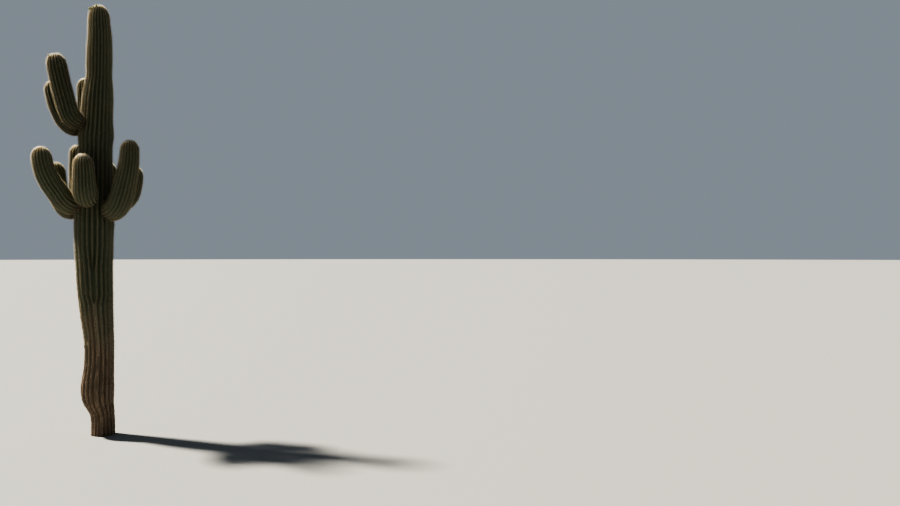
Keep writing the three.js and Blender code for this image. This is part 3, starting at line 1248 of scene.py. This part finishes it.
@dataclass(frozen=True)
class SkinFinish(Finish):
    """The waxy skin between the spines, corky where it is old, with painted shade darkening its grooves.

    Attributes:
        name: The material's name.
        crest: Colour on the ribs' crests.
        flank: Colour on their sides.
        groove: Painted shade at the bottom of the grooves, the flank colour made darker.
        tint: What the flanks turn to in patches.
        weathered: What the skin pales to above the cork.
        cork: Colour of the corky skin.
        cork_crack_and_groove_shade: Colour in its cracks, also laid over the cork's grooves as painted
            shade.
        crown: Colour of the youngest skin at the tip.
    """

    PATCHES: ClassVar[Noise] = Noise(3.2, 4.0)
    MOTTLE: ClassVar[Noise] = Noise(26.0, 5.0)
    GRAIN: ClassVar[Noise] = Noise(190.0, 3.0)
    PLATES: ClassVar[Noise] = Noise(105.0, 5.0, (1.0, 1.0, 0.4))
    CREASES: ClassVar[Noise] = Noise(120.0, 4.0, (0.3, 0.3, 1.0))
    FISSURES: ClassVar[Noise] = Noise(42.0, 3.0, (1.0, 1.0, 0.07))
    ON_FLANKS: ClassVar[Cover] = Cover(0.02, 0.26)
    IN_PATCHES: ClassVar[Cover] = Cover(0.48, 0.68, 0.7)
    # Painted shade: the groove colour covers the deep part of each groove.
    SHADE_IN_GROOVES: ClassVar[Cover] = Cover(0.28, 0.80)
    MOTTLED: ClassVar[Cover] = Cover(0.5, 0.72, 0.28)
    NEAR_TIP: ClassVar[Cover] = Cover(0.26, 0.0, 0.6)
    ABOVE_CORK: ClassVar[Cover] = Cover(0.0, 0.5, 0.8)
    ROUND_PLATES: ClassVar[Cover] = Cover(0.56, 0.40, 0.6)
    IN_CREASES: ClassVar[Cover] = Cover(0.50, 0.36, 0.5)
    IN_FISSURES: ClassVar[Cover] = Cover(0.54, 0.42, 0.8)
    # Painted shade: the crack colour laid over the deep part of the cork's grooves.
    SHADE_IN_CORK_GROOVES: ClassVar[Cover] = Cover(0.15, 0.85, 0.75)
    CORKY: ClassVar[Cover] = Cover(0.35, 1.25)
    CORK_EDGE_MOTTLE: ClassVar[float] = 0.5
    ROUGHNESS: ClassVar[tuple[float, float]] = (0.52, 0.8)
    GLOSS: ClassVar[float] = 0.35
    GRAIN_STRENGTH: ClassVar[float] = 0.25
    GRAIN_HEIGHT: ClassVar[float] = 0.0015
    BARK_HEIGHT: ClassVar[float] = 0.030

    name: str
    crest: Colour
    flank: Colour
    groove: Colour
    tint: Colour
    weathered: Colour
    cork: Colour
    cork_crack_and_groove_shade: Colour
    crown: Colour

    def _new_material(self) -> bpy.types.Material:
        """Makes the material."""
        sheet = NodeSheet(self.name, {"Specular IOR Level": self.GLOSS})
        depth, cork, to_tip = (sheet.shade(name) for name in ("groove", "cork", "to_tip"))
        patches, mottle, grain = (sheet.noise(n) for n in (self.PATCHES, self.MOTTLE, self.GRAIN))
        plates, creases, fissures = (sheet.noise(n) for n in (self.PLATES, self.CREASES, self.FISSURES))
        colour = self.crest
        # The groove layer is painted shade in the grooves; the other layers are the skin's own colours.
        for over, pattern, cover in (
                (self.flank, depth, self.ON_FLANKS), (self.tint, patches, self.IN_PATCHES),
                (self.groove, depth, self.SHADE_IN_GROOVES), (self.crest, mottle, self.MOTTLED),
                (self.crown, to_tip, self.NEAR_TIP), (self.weathered, cork, self.ABOVE_CORK)):
            colour = sheet.layer(colour, over, pattern, cover)
        bark = self.cork
        # Plates, creases and fissures are the cork's own cracks; the groove-depth layer is painted shade.
        for pattern, cover in ((plates, self.ROUND_PLATES), (creases, self.IN_CREASES),
                               (fissures, self.IN_FISSURES), (depth, self.SHADE_IN_CORK_GROOVES)):
            bark = sheet.layer(bark, self.cork_crack_and_groove_shade, pattern, cover)
        corky = sheet.maths("ADD", cork, sheet.maths("MULTIPLY", mottle, self.CORK_EDGE_MOTTLE))
        sheet.wire("Base Color", sheet.layer(colour, bark, corky, self.CORKY))
        least, most = self.ROUGHNESS
        rough = sheet.add("ShaderNodeMapRange", {"Value": mottle, "To Min": least, "To Max": most})
        sheet.wire("Roughness", rough.outputs["Result"])
        relief = plates
        for pattern in (creases, fissures, cork):
            relief = sheet.maths("MULTIPLY", relief, pattern)
        fine = sheet.bump(grain, self.GRAIN_STRENGTH, self.GRAIN_HEIGHT)
        sheet.wire("Normal", sheet.bump(relief, 1.0, self.BARK_HEIGHT, fine))
        return sheet.made


@dataclass(frozen=True)
class PlainFinish(Finish):
    """A small thing's finish: one base colour with a fine grain.

    Attributes:
        name: The material's name.
        colour: Its colour.
        roughness: Of its surface.
        sheen: How much a fibrous surface glows at its edges.
        glow: How much light comes through from behind.
    """

    GRAIN: ClassVar[Noise] = Noise(700.0, 2.0)
    GRAIN_STRENGTH: ClassVar[float] = 0.3
    GRAIN_HEIGHT: ClassVar[float] = 0.0004
    GLOSS: ClassVar[float] = 0.3
    GLOW_DEPTH: ClassVar[float] = 0.0015
    GLOW_TINT: ClassVar[Colour] = (1.0, 0.8, 0.5)

    name: str
    colour: Colour
    roughness: float
    sheen: float = 0.0
    glow: float = 0.0

    def _new_material(self) -> bpy.types.Material:
        """Makes the material."""
        sheet = NodeSheet(self.name, {
            "Base Color": (*self.colour, 1.0),
            "Roughness": self.roughness,
            "Specular IOR Level": self.GLOSS,
            "Sheen Weight": self.sheen,
            "Subsurface Weight": self.glow,
            "Subsurface Radius": self.GLOW_TINT,
            "Subsurface Scale": self.GLOW_DEPTH,
        })
        grain = sheet.noise(self.GRAIN)
        sheet.wire("Normal", sheet.bump(grain, self.GRAIN_STRENGTH, self.GRAIN_HEIGHT))
        return sheet.made


# In the trunk and lower arm skins the groove colour is a darker flank colour, painted shade in the grooves.
TRUNK_FINISH = SkinFinish(
    "ribbed_trunk_skin",
    crest=(0.150, 0.147, 0.107), flank=(0.119, 0.137, 0.090), groove=(0.104, 0.119, 0.080),
    tint=(0.140, 0.132, 0.088), weathered=(0.226, 0.199, 0.141), cork=(0.352, 0.264, 0.186),
    cork_crack_and_groove_shade=(0.148, 0.110, 0.078), crown=(0.155, 0.164, 0.112))
LOWER_ARM_FINISH = SkinFinish(
    "ribbed_arm_skin",
    crest=(0.143, 0.141, 0.102), flank=(0.117, 0.137, 0.088), groove=(0.104, 0.120, 0.079),
    tint=(0.134, 0.127, 0.083), weathered=(0.140, 0.128, 0.088), cork=(0.176, 0.136, 0.097),
    cork_crack_and_groove_shade=(0.078, 0.060, 0.044), crown=(0.150, 0.158, 0.107))
# Painted shade: the arm skin made darker all over for the upper arms, which stand in weaker light.
SHADED_UPPER_ARM_FINISH = SkinFinish(
    "ribbed_upper_arm_skin",
    crest=(0.080, 0.079, 0.057), flank=(0.080, 0.094, 0.060), groove=(0.082, 0.094, 0.062),
    tint=(0.084, 0.080, 0.053), weathered=(0.105, 0.096, 0.066), cork=(0.140, 0.108, 0.077),
    cork_crack_and_groove_shade=(0.066, 0.051, 0.038), crown=(0.115, 0.121, 0.082))
SPINE_FINISHES = (
    PlainFinish("spine_straw", (0.56, 0.485, 0.35), 0.35, glow=0.9),
    PlainFinish("spine_grey", (0.28, 0.257, 0.21), 0.4, glow=0.6),
    PlainFinish("spine_brown", (0.20, 0.14, 0.10), 0.4, glow=0.5),
    PlainFinish("spine_cream", (0.88, 0.80, 0.64), 0.35, glow=0.9),
)
FELT_FINISHES = (
    PlainFinish("felt_grey", (0.18, 0.165, 0.138), 0.95, 0.2),
    PlainFinish("felt_cream", (0.54, 0.48, 0.37), 0.95, 0.4),
)
BUD_FINISHES = (
    PlainFinish("bud_green", (0.17, 0.21, 0.07), 0.6),
    PlainFinish("bud_scale", (0.42, 0.40, 0.19), 0.65),
    PlainFinish("bud_tip", (0.66, 0.60, 0.40), 0.7),
)


class SpineColour(Enum):
    """Which of the spine finishes a spine has."""

    STRAW = 0
    GREY = 1
    BROWN = 2
    CREAM = 3


@dataclass(frozen=True)
class SpineRing:
    """The spines of one areole that are alike.

    Attributes:
        count: How many there are.
        length: Of each.
        tilt: Their angle from straight out, in degrees.
        off_middle: How far from the middle of the areole they stand.
    """

    count: int
    length: float
    tilt: float
    off_middle: float


@dataclass(frozen=True)
class SpineHabit:
    """How the spines of one areole grow.

    Attributes:
        radials: The short ones that lie round it.
        centrals: The long ones that stand in its middle.
        thickness: A spine's radius at its foot.
        colours: What the spines are dealt, each as likely as it is often named.
    """

    radials: SpineRing
    centrals: SpineRing
    thickness: float
    colours: tuple[SpineColour, ...]


class Age(Enum):
    """How old the part of a rib is that an areole stands on."""

    CROWN = SpineHabit(SpineRing(9, 0.014, 54, 0.0028), SpineRing(8, 0.026, 28, 0.0014), 0.0011,
                       (SpineColour.CREAM, SpineColour.STRAW, SpineColour.STRAW, SpineColour.GREY))
    GROWN = SpineHabit(SpineRing(10, 0.014, 62, 0.0028), SpineRing(7, 0.029, 34, 0.0014), 0.0011,
                       (SpineColour.STRAW, SpineColour.STRAW, SpineColour.GREY, SpineColour.GREY,
                        SpineColour.BROWN))
    OLD = SpineHabit(SpineRing(4, 0.009, 62, 0.0028), SpineRing(2, 0.014, 35, 0.0014), 0.0009,
                     (SpineColour.GREY, SpineColour.BROWN, SpineColour.BROWN))


@dataclass
class Shape:
    """A small shape that is repeated many times.

    Attributes:
        points: Its points.
        corners: Three points for each triangle.
        finish: Which finish each triangle has.
    """

    points: np.ndarray
    corners: np.ndarray
    finish: np.ndarray

    @classmethod
    def taken_from(cls, bm: bmesh.types.BMesh) -> "Shape":
        """Cuts a mesh into triangles and takes it over, with its material numbers.

        Args:
            bm: The mesh, which is freed.

        Returns:
            The shape.
        """
        bmesh.ops.triangulate(bm, faces=bm.faces)
        bm.verts.index_update()
        points = np.array([v.co for v in bm.verts])
        corners = np.array([[v.index for v in f.verts] for f in bm.faces])
        finish = np.array([f.material_index for f in bm.faces])
        bm.free()
        return cls(points, corners, finish)


def set_finish(parts: dict[str, list], number: int) -> None:
    """Gives every face of what an operator made a material number."""
    for face in {f for v in parts["verts"] for f in v.link_faces}:
        face.material_index = number


class SpineCluster:
    """The spines of one areole, out along +Z, with +Y up the rib.

    Attributes:
        SINK: How deep a spine's foot is in the felt.
        LENGTHS: How much shorter or longer than its ring's a spine may be.
        STRAY_TURN: How far it strays round the areole, in radians.
        STRAY_TILT: How far it strays from its tilt, in degrees.
    """

    SINK = 0.001
    LENGTHS = (0.7, 1.2)
    STRAY_TURN = 0.22
    STRAY_TILT = 7

    def __init__(self, habit: SpineHabit, seed: int) -> None:
        """Keeps what the spines are like.

        Args:
            habit: How they grow.
            seed: Which of the many clusters this one is.
        """
        self.habit = habit
        self.rng = np.random.default_rng(seed)

    def shape(self) -> Shape:
        """Returns the cluster's shape."""
        bm = bmesh.new()
        for ring in (self.habit.radials, self.habit.centrals):
            turn = self.rng.uniform(0, FULL_TURN)
            for k in range(ring.count):
                self._spine(bm, turn + FULL_TURN * k / ring.count, ring)
        return Shape.taken_from(bm)

    def _spine(self, bm: bmesh.types.BMesh, turn: float, ring: SpineRing) -> None:
        """Adds one spine.

        Args:
            bm: What it is added to.
            turn: Which way round the areole it points.
            ring: What it is like.
        """
        length = ring.length * self.rng.uniform(*self.LENGTHS)
        turn += self.rng.normal(0, self.STRAY_TURN)
        tilt = math.radians(ring.tilt + self.rng.normal(0, self.STRAY_TILT))
        stand = Matrix.Translation((0, 0, length / 2 - self.SINK))
        foot = Matrix.Translation((ring.off_middle * math.cos(turn), ring.off_middle * math.sin(turn), 0))
        turned = Matrix.Rotation(turn, 4, "Z") @ Matrix.Rotation(tilt, 4, "Y")
        made = bmesh.ops.create_cone(bm, cap_ends=True, segments=3, radius1=self.habit.thickness, radius2=0,
                                     depth=length, matrix=foot @ turned @ stand)
        colours = self.habit.colours
        set_finish(made, colours[self.rng.integers(len(colours))].value)


@dataclass(frozen=True)
class FeltPad:
    """The low woolly pad that the spines of one areole stand in.

    Attributes:
        width: Across the rib.
        length: Up the rib.
        height: Out of the rib.
        finish: Which felt it is made of.
    """

    SIDES: ClassVar[int] = 4
    TOP_RADIUS: ClassVar[float] = 0.3
    RAISED: ClassVar[float] = 0.2

    width: float
    length: float
    height: float
    finish: int

    def shape(self) -> Shape:
        """Returns the pad's shape."""
        bm = bmesh.new()
        made = bmesh.ops.create_cone(bm, cap_ends=True, segments=self.SIDES, radius1=0.5,
                                     radius2=self.TOP_RADIUS, depth=1)
        bmesh.ops.translate(bm, verts=made["verts"], vec=(0, 0, self.RAISED))
        bmesh.ops.scale(bm, verts=made["verts"], vec=(self.width, self.length, self.height))
        set_finish(made, self.finish)
        return Shape.taken_from(bm)


def scattered(name: str, shapes: Sequence[Shape], choice: np.ndarray, sites: Sites, scale: np.ndarray,
              spin: np.ndarray, finishes: Sequence[Finish]) -> bpy.types.Object:
    """Joins one copy of a shape at each site into one piece.

    Args:
        name: The piece's name.
        shapes: What to choose from.
        choice: Which shape each site has.
        sites: Where they stand.
        scale: The size of each.
        spin: How far each is turned round its way out.
        finishes: What the shapes' finish numbers mean.

    Returns:
        The piece.
    """
    points, corners, marks = [], [], []
    first = 0
    cos, sin = np.cos(spin)[:, None], np.sin(spin)[:, None]
    right = (sites.across * cos + sites.ahead * sin) * scale[:, None]
    up = (sites.ahead * cos - sites.across * sin) * scale[:, None]
    out = sites.normal * scale[:, None]
    axes = np.stack([right, up, out], axis=1)
    for number, shape in enumerate(shapes):
        chosen = choice == number
        copies = int(chosen.sum())
        if not copies:
            continue
        placed = np.einsum("pk,skc->spc", shape.points, axes[chosen]) + sites.point[chosen][:, None]
        starts = first + np.arange(copies) * len(shape.points)
        points.append(placed.reshape(-1, 3))
        corners.append((starts[:, None, None] + shape.corners[None]).reshape(-1, 3))
        marks.append(np.tile(shape.finish, copies))
        first += copies * len(shape.points)
    joined = Shape(np.concatenate(points), np.concatenate(corners), np.concatenate(marks))
    return triangle_piece(name, joined, finishes)


def triangle_piece(name: str, shape: Shape, finishes: Sequence[Finish]) -> bpy.types.Object:
    """Makes a piece from arrays of triangles.

    Args:
        name: Its name.
        shape: Its triangles.
        finishes: What the shape's finish numbers mean.

    Returns:
        The piece.
    """
    mesh = bpy.data.meshes.new(name)
    mesh.vertices.add(len(shape.points))
    mesh.vertices.foreach_set("co", shape.points.astype(np.float32).ravel())
    mesh.loops.add(shape.corners.size)
    mesh.loops.foreach_set("vertex_index", shape.corners.astype(np.int32).ravel())
    mesh.polygons.add(len(shape.corners))
    mesh.polygons.foreach_set("loop_start", np.arange(0, shape.corners.size, 3, dtype=np.int32))
    mesh.polygons.foreach_set("material_index", shape.finish.astype(np.int32))
    mesh.update(calc_edges=True)
    for finish in finishes:
        mesh.materials.append(finish.material())
    return link(name, mesh)


class Armour:
    """The areoles' felt and spines, dealt out over the stems.

    Attributes:
        VARIANTS: How many clusters there are for each age.
        PADS: The pad for each age.
        CROWN_REACH: How far below the tip an areole counts as young.
        CROWN_BLUR: How uneven that limit is, as a share.
        OLD_CORK: How corky the skin is where an areole counts as old.
        OLD_BLUR: How uneven that limit is.
        SHED: The share of the areoles on full cork that have lost their spines.
        PAD_SIZES: How much smaller or larger a pad may be.
        CLUSTER_SIZES: How much smaller or larger a cluster may be.
        SPINE_FOOT: How high in the pad a cluster stands.
        SPINE_TWIST: How far a cluster may be turned, in radians.
    """

    VARIANTS = 7
    PADS = (
        FeltPad(0.0105, 0.0120, 0.0050, 1),
        FeltPad(0.0085, 0.0100, 0.0038, 0),
        FeltPad(0.0075, 0.0085, 0.0030, 0),
    )
    CROWN_REACH = 0.10
    CROWN_BLUR = 0.8
    OLD_CORK = 0.55
    OLD_BLUR = 0.5
    SHED = 0.6
    PAD_SIZES = (0.85, 1.2)
    CLUSTER_SIZES = (0.85, 1.15)
    SPINE_FOOT = 0.0012
    SPINE_TWIST = 0.5

    def __init__(self, seed: int) -> None:
        """Makes the clusters that every stem draws from."""
        self.rng = np.random.default_rng(seed)
        self.clusters = [SpineCluster(age.value, seed + 100 * number + k).shape()
                         for number, age in enumerate(Age) for k in range(self.VARIANTS)]
        self.pads = [pad.shape() for pad in self.PADS]

    def _ages(self, sites: Sites) -> np.ndarray:
        """Tells how old each site is.

        Args:
            sites: The sites.

        Returns:
            The number of each site's age, in the order of Age.
        """
        crown, grown, old = range(len(Age))
        fuzzy = self.rng.uniform(-0.5, 0.5, len(sites))
        ages = np.full(len(sites), grown)
        ages[sites.to_tip < self.CROWN_REACH * (1 + self.CROWN_BLUR * fuzzy)] = crown
        ages[sites.cork > self.OLD_CORK + self.OLD_BLUR * fuzzy] = old
        return ages

    def thinned(self, sites: Sites) -> Sites:
        """Returns the sites that still bear spines: fewer of them on cork."""
        kept = self.rng.uniform(0, 1, len(sites)) > self.SHED * sites.cork
        return sites.where(kept)

    def felt(self, name: str, sites: Sites) -> bpy.types.Object:
        """Makes the felt pads.

        Args:
            name: The piece's name.
            sites: Where they stand.

        Returns:
            The piece.
        """
        scale = self.rng.uniform(*self.PAD_SIZES, len(sites))
        ages = self._ages(sites)
        return scattered(name, self.pads, ages, sites, scale, np.zeros(len(sites)), FELT_FINISHES)

    def spines(self, name: str, sites: Sites) -> bpy.types.Object:
        """Makes the spines.

        Args:
            name: The piece's name.
            sites: Where their areoles stand.

        Returns:
            The piece.
        """
        count = len(sites)
        choice = self._ages(sites) * self.VARIANTS + self.rng.integers(0, self.VARIANTS, count)
        raised = replace(sites, point=sites.point + sites.normal * self.SPINE_FOOT)
        scale = self.rng.uniform(*self.CLUSTER_SIZES, count)
        spin = self.rng.uniform(-self.SPINE_TWIST, self.SPINE_TWIST, count)
        return scattered(name, self.clusters, choice, raised, scale, spin, SPINE_FINISHES)


class Bud:
    """A plump flower bud, out along +Z, with overlapping scales and a closed tip.

    Attributes:
        BODY_TOP: How far up its body reaches, as a share of its length.
        SUNK: How deep its body is sunk, as a share of its length.
        BODY_GIRTH: Its body's share of the radius.
        LEAST_NARROWING: The square of the least share of it that is left towards the ends.
        FLAKE_GIRTH: The share of the radius that the flakes' feet stand at.
        FLAKE_POINT: The share of a flake's width that is left at its point, halved.
        LEVELS: How far up the lowest and the highest scale start, as shares of the length.
        LENGTHS: How long the lowest and the highest scale are.
        SPLAYS: How far they stand off, in degrees.
        PETAL_LEVEL: How far up the petals start, as a share of the length.
    """

    LENGTH = 0.040
    RADIUS = 0.014
    BODY_TOP = 0.86
    SUNK = 0.35
    HALF_LENGTH = LENGTH * (BODY_TOP + SUNK) / 2
    MIDDLE = LENGTH * BODY_TOP - HALF_LENGTH
    BODY_GIRTH = 0.9
    SIDES = 10
    RINGS = 8
    LEAST_NARROWING = 0.05
    FLAKE_GIRTH = 0.84
    FLAKE_POINT = 0.05
    FLAKE_THICKNESS = 0.0028
    FLAKE_WIDTH = 0.0080
    SCALES = 20
    LEVELS = (0.05, 0.62)
    LENGTHS = (0.009, 0.013)
    SPLAYS = (24, 12)
    PETALS = 6
    PETAL_LEVEL = 0.72
    PETAL_LENGTH = 0.0135
    PETAL_SPLAY = -14

    def shape(self) -> Shape:
        """Returns the bud's shape."""
        bm = bmesh.new()
        girth = self.RADIUS * self.BODY_GIRTH
        body = bmesh.ops.create_uvsphere(bm, u_segments=self.SIDES, v_segments=self.RINGS, radius=1)
        bmesh.ops.scale(bm, verts=body["verts"], vec=(girth, girth, self.HALF_LENGTH))
        bmesh.ops.translate(bm, verts=body["verts"], vec=(0, 0, self.MIDDLE))
        set_finish(body, 0)
        golden = math.pi * (3 - math.sqrt(5))
        for k in range(self.SCALES):
            level, length, splay = (blend(*ends, k / (self.SCALES - 1))
                                    for ends in (self.LEVELS, self.LENGTHS, self.SPLAYS))
            self._flake(bm, golden * k, level, length, splay, 1)
        for k in range(self.PETALS):
            turn = FULL_TURN * k / self.PETALS
            self._flake(bm, turn, self.PETAL_LEVEL, self.PETAL_LENGTH, self.PETAL_SPLAY, 2)
        return Shape.taken_from(bm)

    def _flake(self, bm: bmesh.types.BMesh, turn: float, level: float, length: float, splay: float,
               finish: int) -> None:
        """Adds one pointed flake.

        Args:
            bm: What it is added to.
            turn: Which way round the bud it lies.
            level: How far up the bud its foot is, as a share of the bud's length.
            length: Its length.
            splay: How far its point stands off the bud, in degrees.
            finish: Which bud finish it has.
        """
        level *= self.LENGTH
        off_middle = (level - self.MIDDLE) / self.HALF_LENGTH
        narrowing = math.sqrt(max(1 - off_middle**2, self.LEAST_NARROWING))
        reach = self.RADIUS * self.FLAKE_GIRTH * narrowing
        made = bmesh.ops.create_cone(bm, cap_ends=True, segments=4, radius1=0.5,
                                     radius2=self.FLAKE_POINT, depth=1)
        bmesh.ops.scale(bm, verts=made["verts"], vec=(self.FLAKE_THICKNESS, self.FLAKE_WIDTH, length))
        bmesh.ops.translate(bm, verts=made["verts"], vec=(0, 0, length / 2))
        placed = (Matrix.Rotation(turn, 4, "Z") @ Matrix.Translation((reach, 0, level))
                  @ Matrix.Rotation(math.radians(splay), 4, "Y"))
        bmesh.ops.transform(bm, matrix=placed, verts=made["verts"])
        set_finish(made, finish)


class BudRing:
    """The buds round the stems' tips, where their solids have them.

    Attributes:
        SPLAY: How far they stand out for each metre up.
        PLACE_ON_ARM_TIP: How far up an arm's rounded tip they stand, as a share.
        HIGHEST_ON_TRUNK: How far up the trunk's the outermost of them would stand.
        DROP_ON_TRUNK: How much lower the middle one stands.
        SIZES: How much smaller or larger a bud may be.
        SPINS: How far it may be turned round its way out, in radians.
    """

    SPLAY = 0.6
    PLACE_ON_ARM_TIP = 0.82
    ARM_SPREAD = 80.0
    HIGHEST_ON_TRUNK = 0.90
    DROP_ON_TRUNK = 0.26
    TRUNK_BUDS = 8
    TRUNK_AZIMUTH = -95.0
    TRUNK_SPREAD = 165.0
    SIZES = (0.9, 1.05)
    SPINS = (0, 6)

    def __init__(self, seed: int) -> None:
        """Makes the shape that each bud is a copy of."""
        self.rng = np.random.default_rng(seed)
        self.shape = Bud().shape()

    def on_trunk(self, trunk: Trunk) -> bpy.types.Object:
        """Sets the buds on the trunk's tip, in a row that droops towards its middle.

        Args:
            trunk: The trunk.

        Returns:
            The piece.
        """
        azimuths = np.array(spread(self.TRUNK_AZIMUTH, self.TRUNK_SPREAD, self.TRUNK_BUDS))
        droop = self.DROP_ON_TRUNK * np.cos(np.radians(azimuths - self.TRUNK_AZIMUTH))
        heights = trunk.extent.up_tip(self.HIGHEST_ON_TRUNK - droop)
        ways = np.array([heading(a) for a in azimuths])
        return self._buds("trunk_buds", trunk.axis(heights), trunk.outer_radius(heights), UP, ways)

    def on_arm(self, arm: Arm) -> bpy.types.Object:
        """Sets the buds on an arm's tip.

        Args:
            arm: The arm.

        Returns:
            The piece.
        """
        along = np.array([arm.extent.up_tip(self.PLACE_ON_ARM_TIP)])
        place = arm.places(along)
        angles = np.radians(spread(0, self.ARM_SPREAD, arm.sizes.buds))
        ways = place.outer * np.cos(angles)[:, None] + place.across * np.sin(angles)[:, None]
        return self._buds(arm.name + "_buds", place.centre, arm.outer_radius(along), place.ahead[0], ways)

    def _buds(self, name: str, centre: np.ndarray, radius: np.ndarray, axis: np.ndarray,
              ways: np.ndarray) -> bpy.types.Object:
        """Sets one bud along each way out of a tip.

        Args:
            name: The piece's name.
            centre: The middle of the tip at each bud's level.
            radius: The tip's radius there.
            axis: The way that the stem points.
            ways: The ways out.

        Returns:
            The piece.
        """
        count = len(ways)
        normal = unit(axis + self.SPLAY * ways)
        across = unit(np.cross(np.broadcast_to(axis, ways.shape), ways))
        point = centre + ways * radius[:, None]
        blank = np.zeros(count)
        sites = Sites(point, across, np.cross(normal, across), normal, to_tip=blank, cork=blank)
        scale = self.rng.uniform(*self.SIZES, count)
        spin = self.rng.uniform(*self.SPINS, count)
        return scattered(name, [self.shape], blank.astype(int), sites, scale, spin, BUD_FINISHES)


@dataclass(frozen=True)
class Studio:
    """The floor, the lights, the camera and the film."""

    camera_place: tuple[float, float, float] = (0.0, -14.46, 2.787)
    camera_yaw: float = 21.62
    lens: float = 35.0
    sensor_width: float = 36.0
    farthest_seen: float = 900.0
    floor_radius: float = 380.0
    floor_sides: int = 96
    floor_finish: PlainFinish = PlainFinish("floor", (0.25, 0.25, 0.246), 0.9)
    sky_colour: Colour = (0.80, 0.90, 1.0)
    sky_strength: float = 0.22
    sun_strength: float = 8.7
    sun_colour: Colour = (1.0, 0.93, 0.80)
    sun_azimuth: float = -133.0
    sun_height: float = 51.0
    sun_width: float = 5.0
    exposure: float = 0.2

    def build(self) -> None:
        """Makes all of them."""
        self._camera()
        self._sky()
        self._sun()
        self._floor()
        view = bpy.context.scene.view_settings
        view.view_transform = "AgX"
        view.look = "AgX - Very High Contrast"
        view.exposure = self.exposure

    def _camera(self) -> None:
        """Stands the camera where the photograph was taken from, level and turned to the right."""
        data = bpy.data.cameras.new("camera")
        data.lens = self.lens
        data.sensor_width = self.sensor_width
        data.clip_end = self.farthest_seen
        camera = link("camera", data)
        camera.location = self.camera_place
        camera.rotation_euler = Euler((math.pi / 2, 0, -math.radians(self.camera_yaw)))
        bpy.context.scene.camera = camera

    def _sky(self) -> None:
        """Lights everything evenly and pale."""
        world = bpy.data.worlds.new("studio")
        world.use_nodes = True
        backdrop = world.node_tree.nodes["Background"]
        backdrop.inputs["Color"].default_value = (*self.sky_colour, 1.0)
        backdrop.inputs["Strength"].default_value = self.sky_strength
        bpy.context.scene.world = world

    def _sun(self) -> None:
        """Adds the main light, high behind the plant on its left."""
        data = bpy.data.lights.new("main_light", "SUN")
        data.energy = self.sun_strength
        data.color = self.sun_colour
        data.angle = math.radians(self.sun_width)
        height = math.radians(self.sun_height)
        towards = heading(self.sun_azimuth) * math.cos(height) + UP * math.sin(height)
        link("main_light", data).rotation_euler = Vector(towards).to_track_quat("Z", "Y").to_euler()

    def _floor(self) -> None:
        """Lays the pale floor."""
        bm = bmesh.new()
        bmesh.ops.create_circle(bm, cap_ends=True, segments=self.floor_sides, radius=self.floor_radius)
        mesh = bpy.data.meshes.new("floor")
        bm.to_mesh(mesh)
        bm.free()
        mesh.materials.append(self.floor_finish.material())
        link("floor", mesh)


class Saguaro:
    """The whole plant.

    Attributes:
        TRUNK_SPINE_PIECES: How many pieces the trunk's spines are dealt out to, by height.
        UPPER_TIER: How high an arm leaves the trunk to count as an upper one, whose skin is painted darker
            as shade.
        COVER: How near an areole may be to another stem before it is left out.
    """

    TRUNK_SPINE_PIECES = 3
    UPPER_TIER = 4.2
    COVER = 0.004

    def __init__(self) -> None:
        """Makes the stems."""
        self.trunk = Trunk()
        self.arms = [Arm(sizes, self.trunk, FIRST_SEED + 50 * (k + 2)) for k, sizes in enumerate(ARMS)]
        self.armour = Armour(FIRST_SEED + 1000)
        self.buds = BudRing(FIRST_SEED + 2000)

    def build(self) -> None:
        """Makes every piece of every stem."""
        sites = self._clothe(self.trunk, TRUNK_FINISH, "trunk_skin", self.arms)
        sites = self.armour.thinned(sites)
        level = np.argsort(np.argsort(sites.point[:, 2])) * self.TRUNK_SPINE_PIECES // len(sites)
        for number in range(self.TRUNK_SPINE_PIECES):
            spines = self.armour.spines(f"trunk_spines_{number + 1}", sites.where(level == number))
            self._add(spines, "spines")
        self._add(self.buds.on_trunk(self.trunk), "buds")
        for arm in self.arms:
            # The upper arms take the darker skin, painted shade for their weaker light.
            upper = arm.sizes.joint_height > self.UPPER_TIER
            finish = SHADED_UPPER_ARM_FINISH if upper else LOWER_ARM_FINISH
            sites = self._clothe(arm, finish, "arm_skin", [self.trunk])
            self._add(self.armour.spines(arm.name + "_spines", sites), "spines")
            if arm.sizes.buds:
                self._add(self.buds.on_arm(arm), "buds")

    def _clothe(self, stem: Stem, finish: Finish, slot: str, others: Sequence[Stem]) -> Sites:
        """Makes a stem's skin and felt.

        Args:
            stem: The stem.
            finish: What its skin is finished in.
            slot: The name of the material slot meant for that, handed on to _add.
            others: The stems that may cover some of its areoles.

        Returns:
            The sites of the areoles that none of them covers.
        """
        sites = stem.areoles()
        self._add(stem.skin(finish), slot, stem.nodes)
        covered = np.any([other.holds(sites.point, self.COVER) for other in others], axis=0)
        sites = sites.where(~covered)
        self._add(self.armour.felt(stem.name + "_areoles", sites), "areoles")
        return sites

    @staticmethod
    def _add(piece: bpy.types.Object, slot: str, nodes: Sequence[str] = ()) -> None:
        """Sets a piece on the plant.

        Args:
            piece: The piece.
            slot: The name of the material slot meant for it; not used.
            nodes: The solids that it stands for.
        """
        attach(piece, BODY)
        if nodes:
            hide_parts(*nodes)
        triangles = sum(len(face.vertices) - 2 for face in piece.data.polygons)
        LOG.info("%s: %d triangles", piece.name, triangles)


def plain(box: Sequence[Vector]) -> list[list[float]]:
    """Returns a box's two corners as lists."""
    return [list(corner) for corner in box]


def main() -> None:
    """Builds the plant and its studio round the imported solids."""
    logging.basicConfig(level=logging.INFO, format="%(name)s %(message)s")
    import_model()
    Studio().build()
    Saguaro().build()


if __name__ == "__main__":
    main()
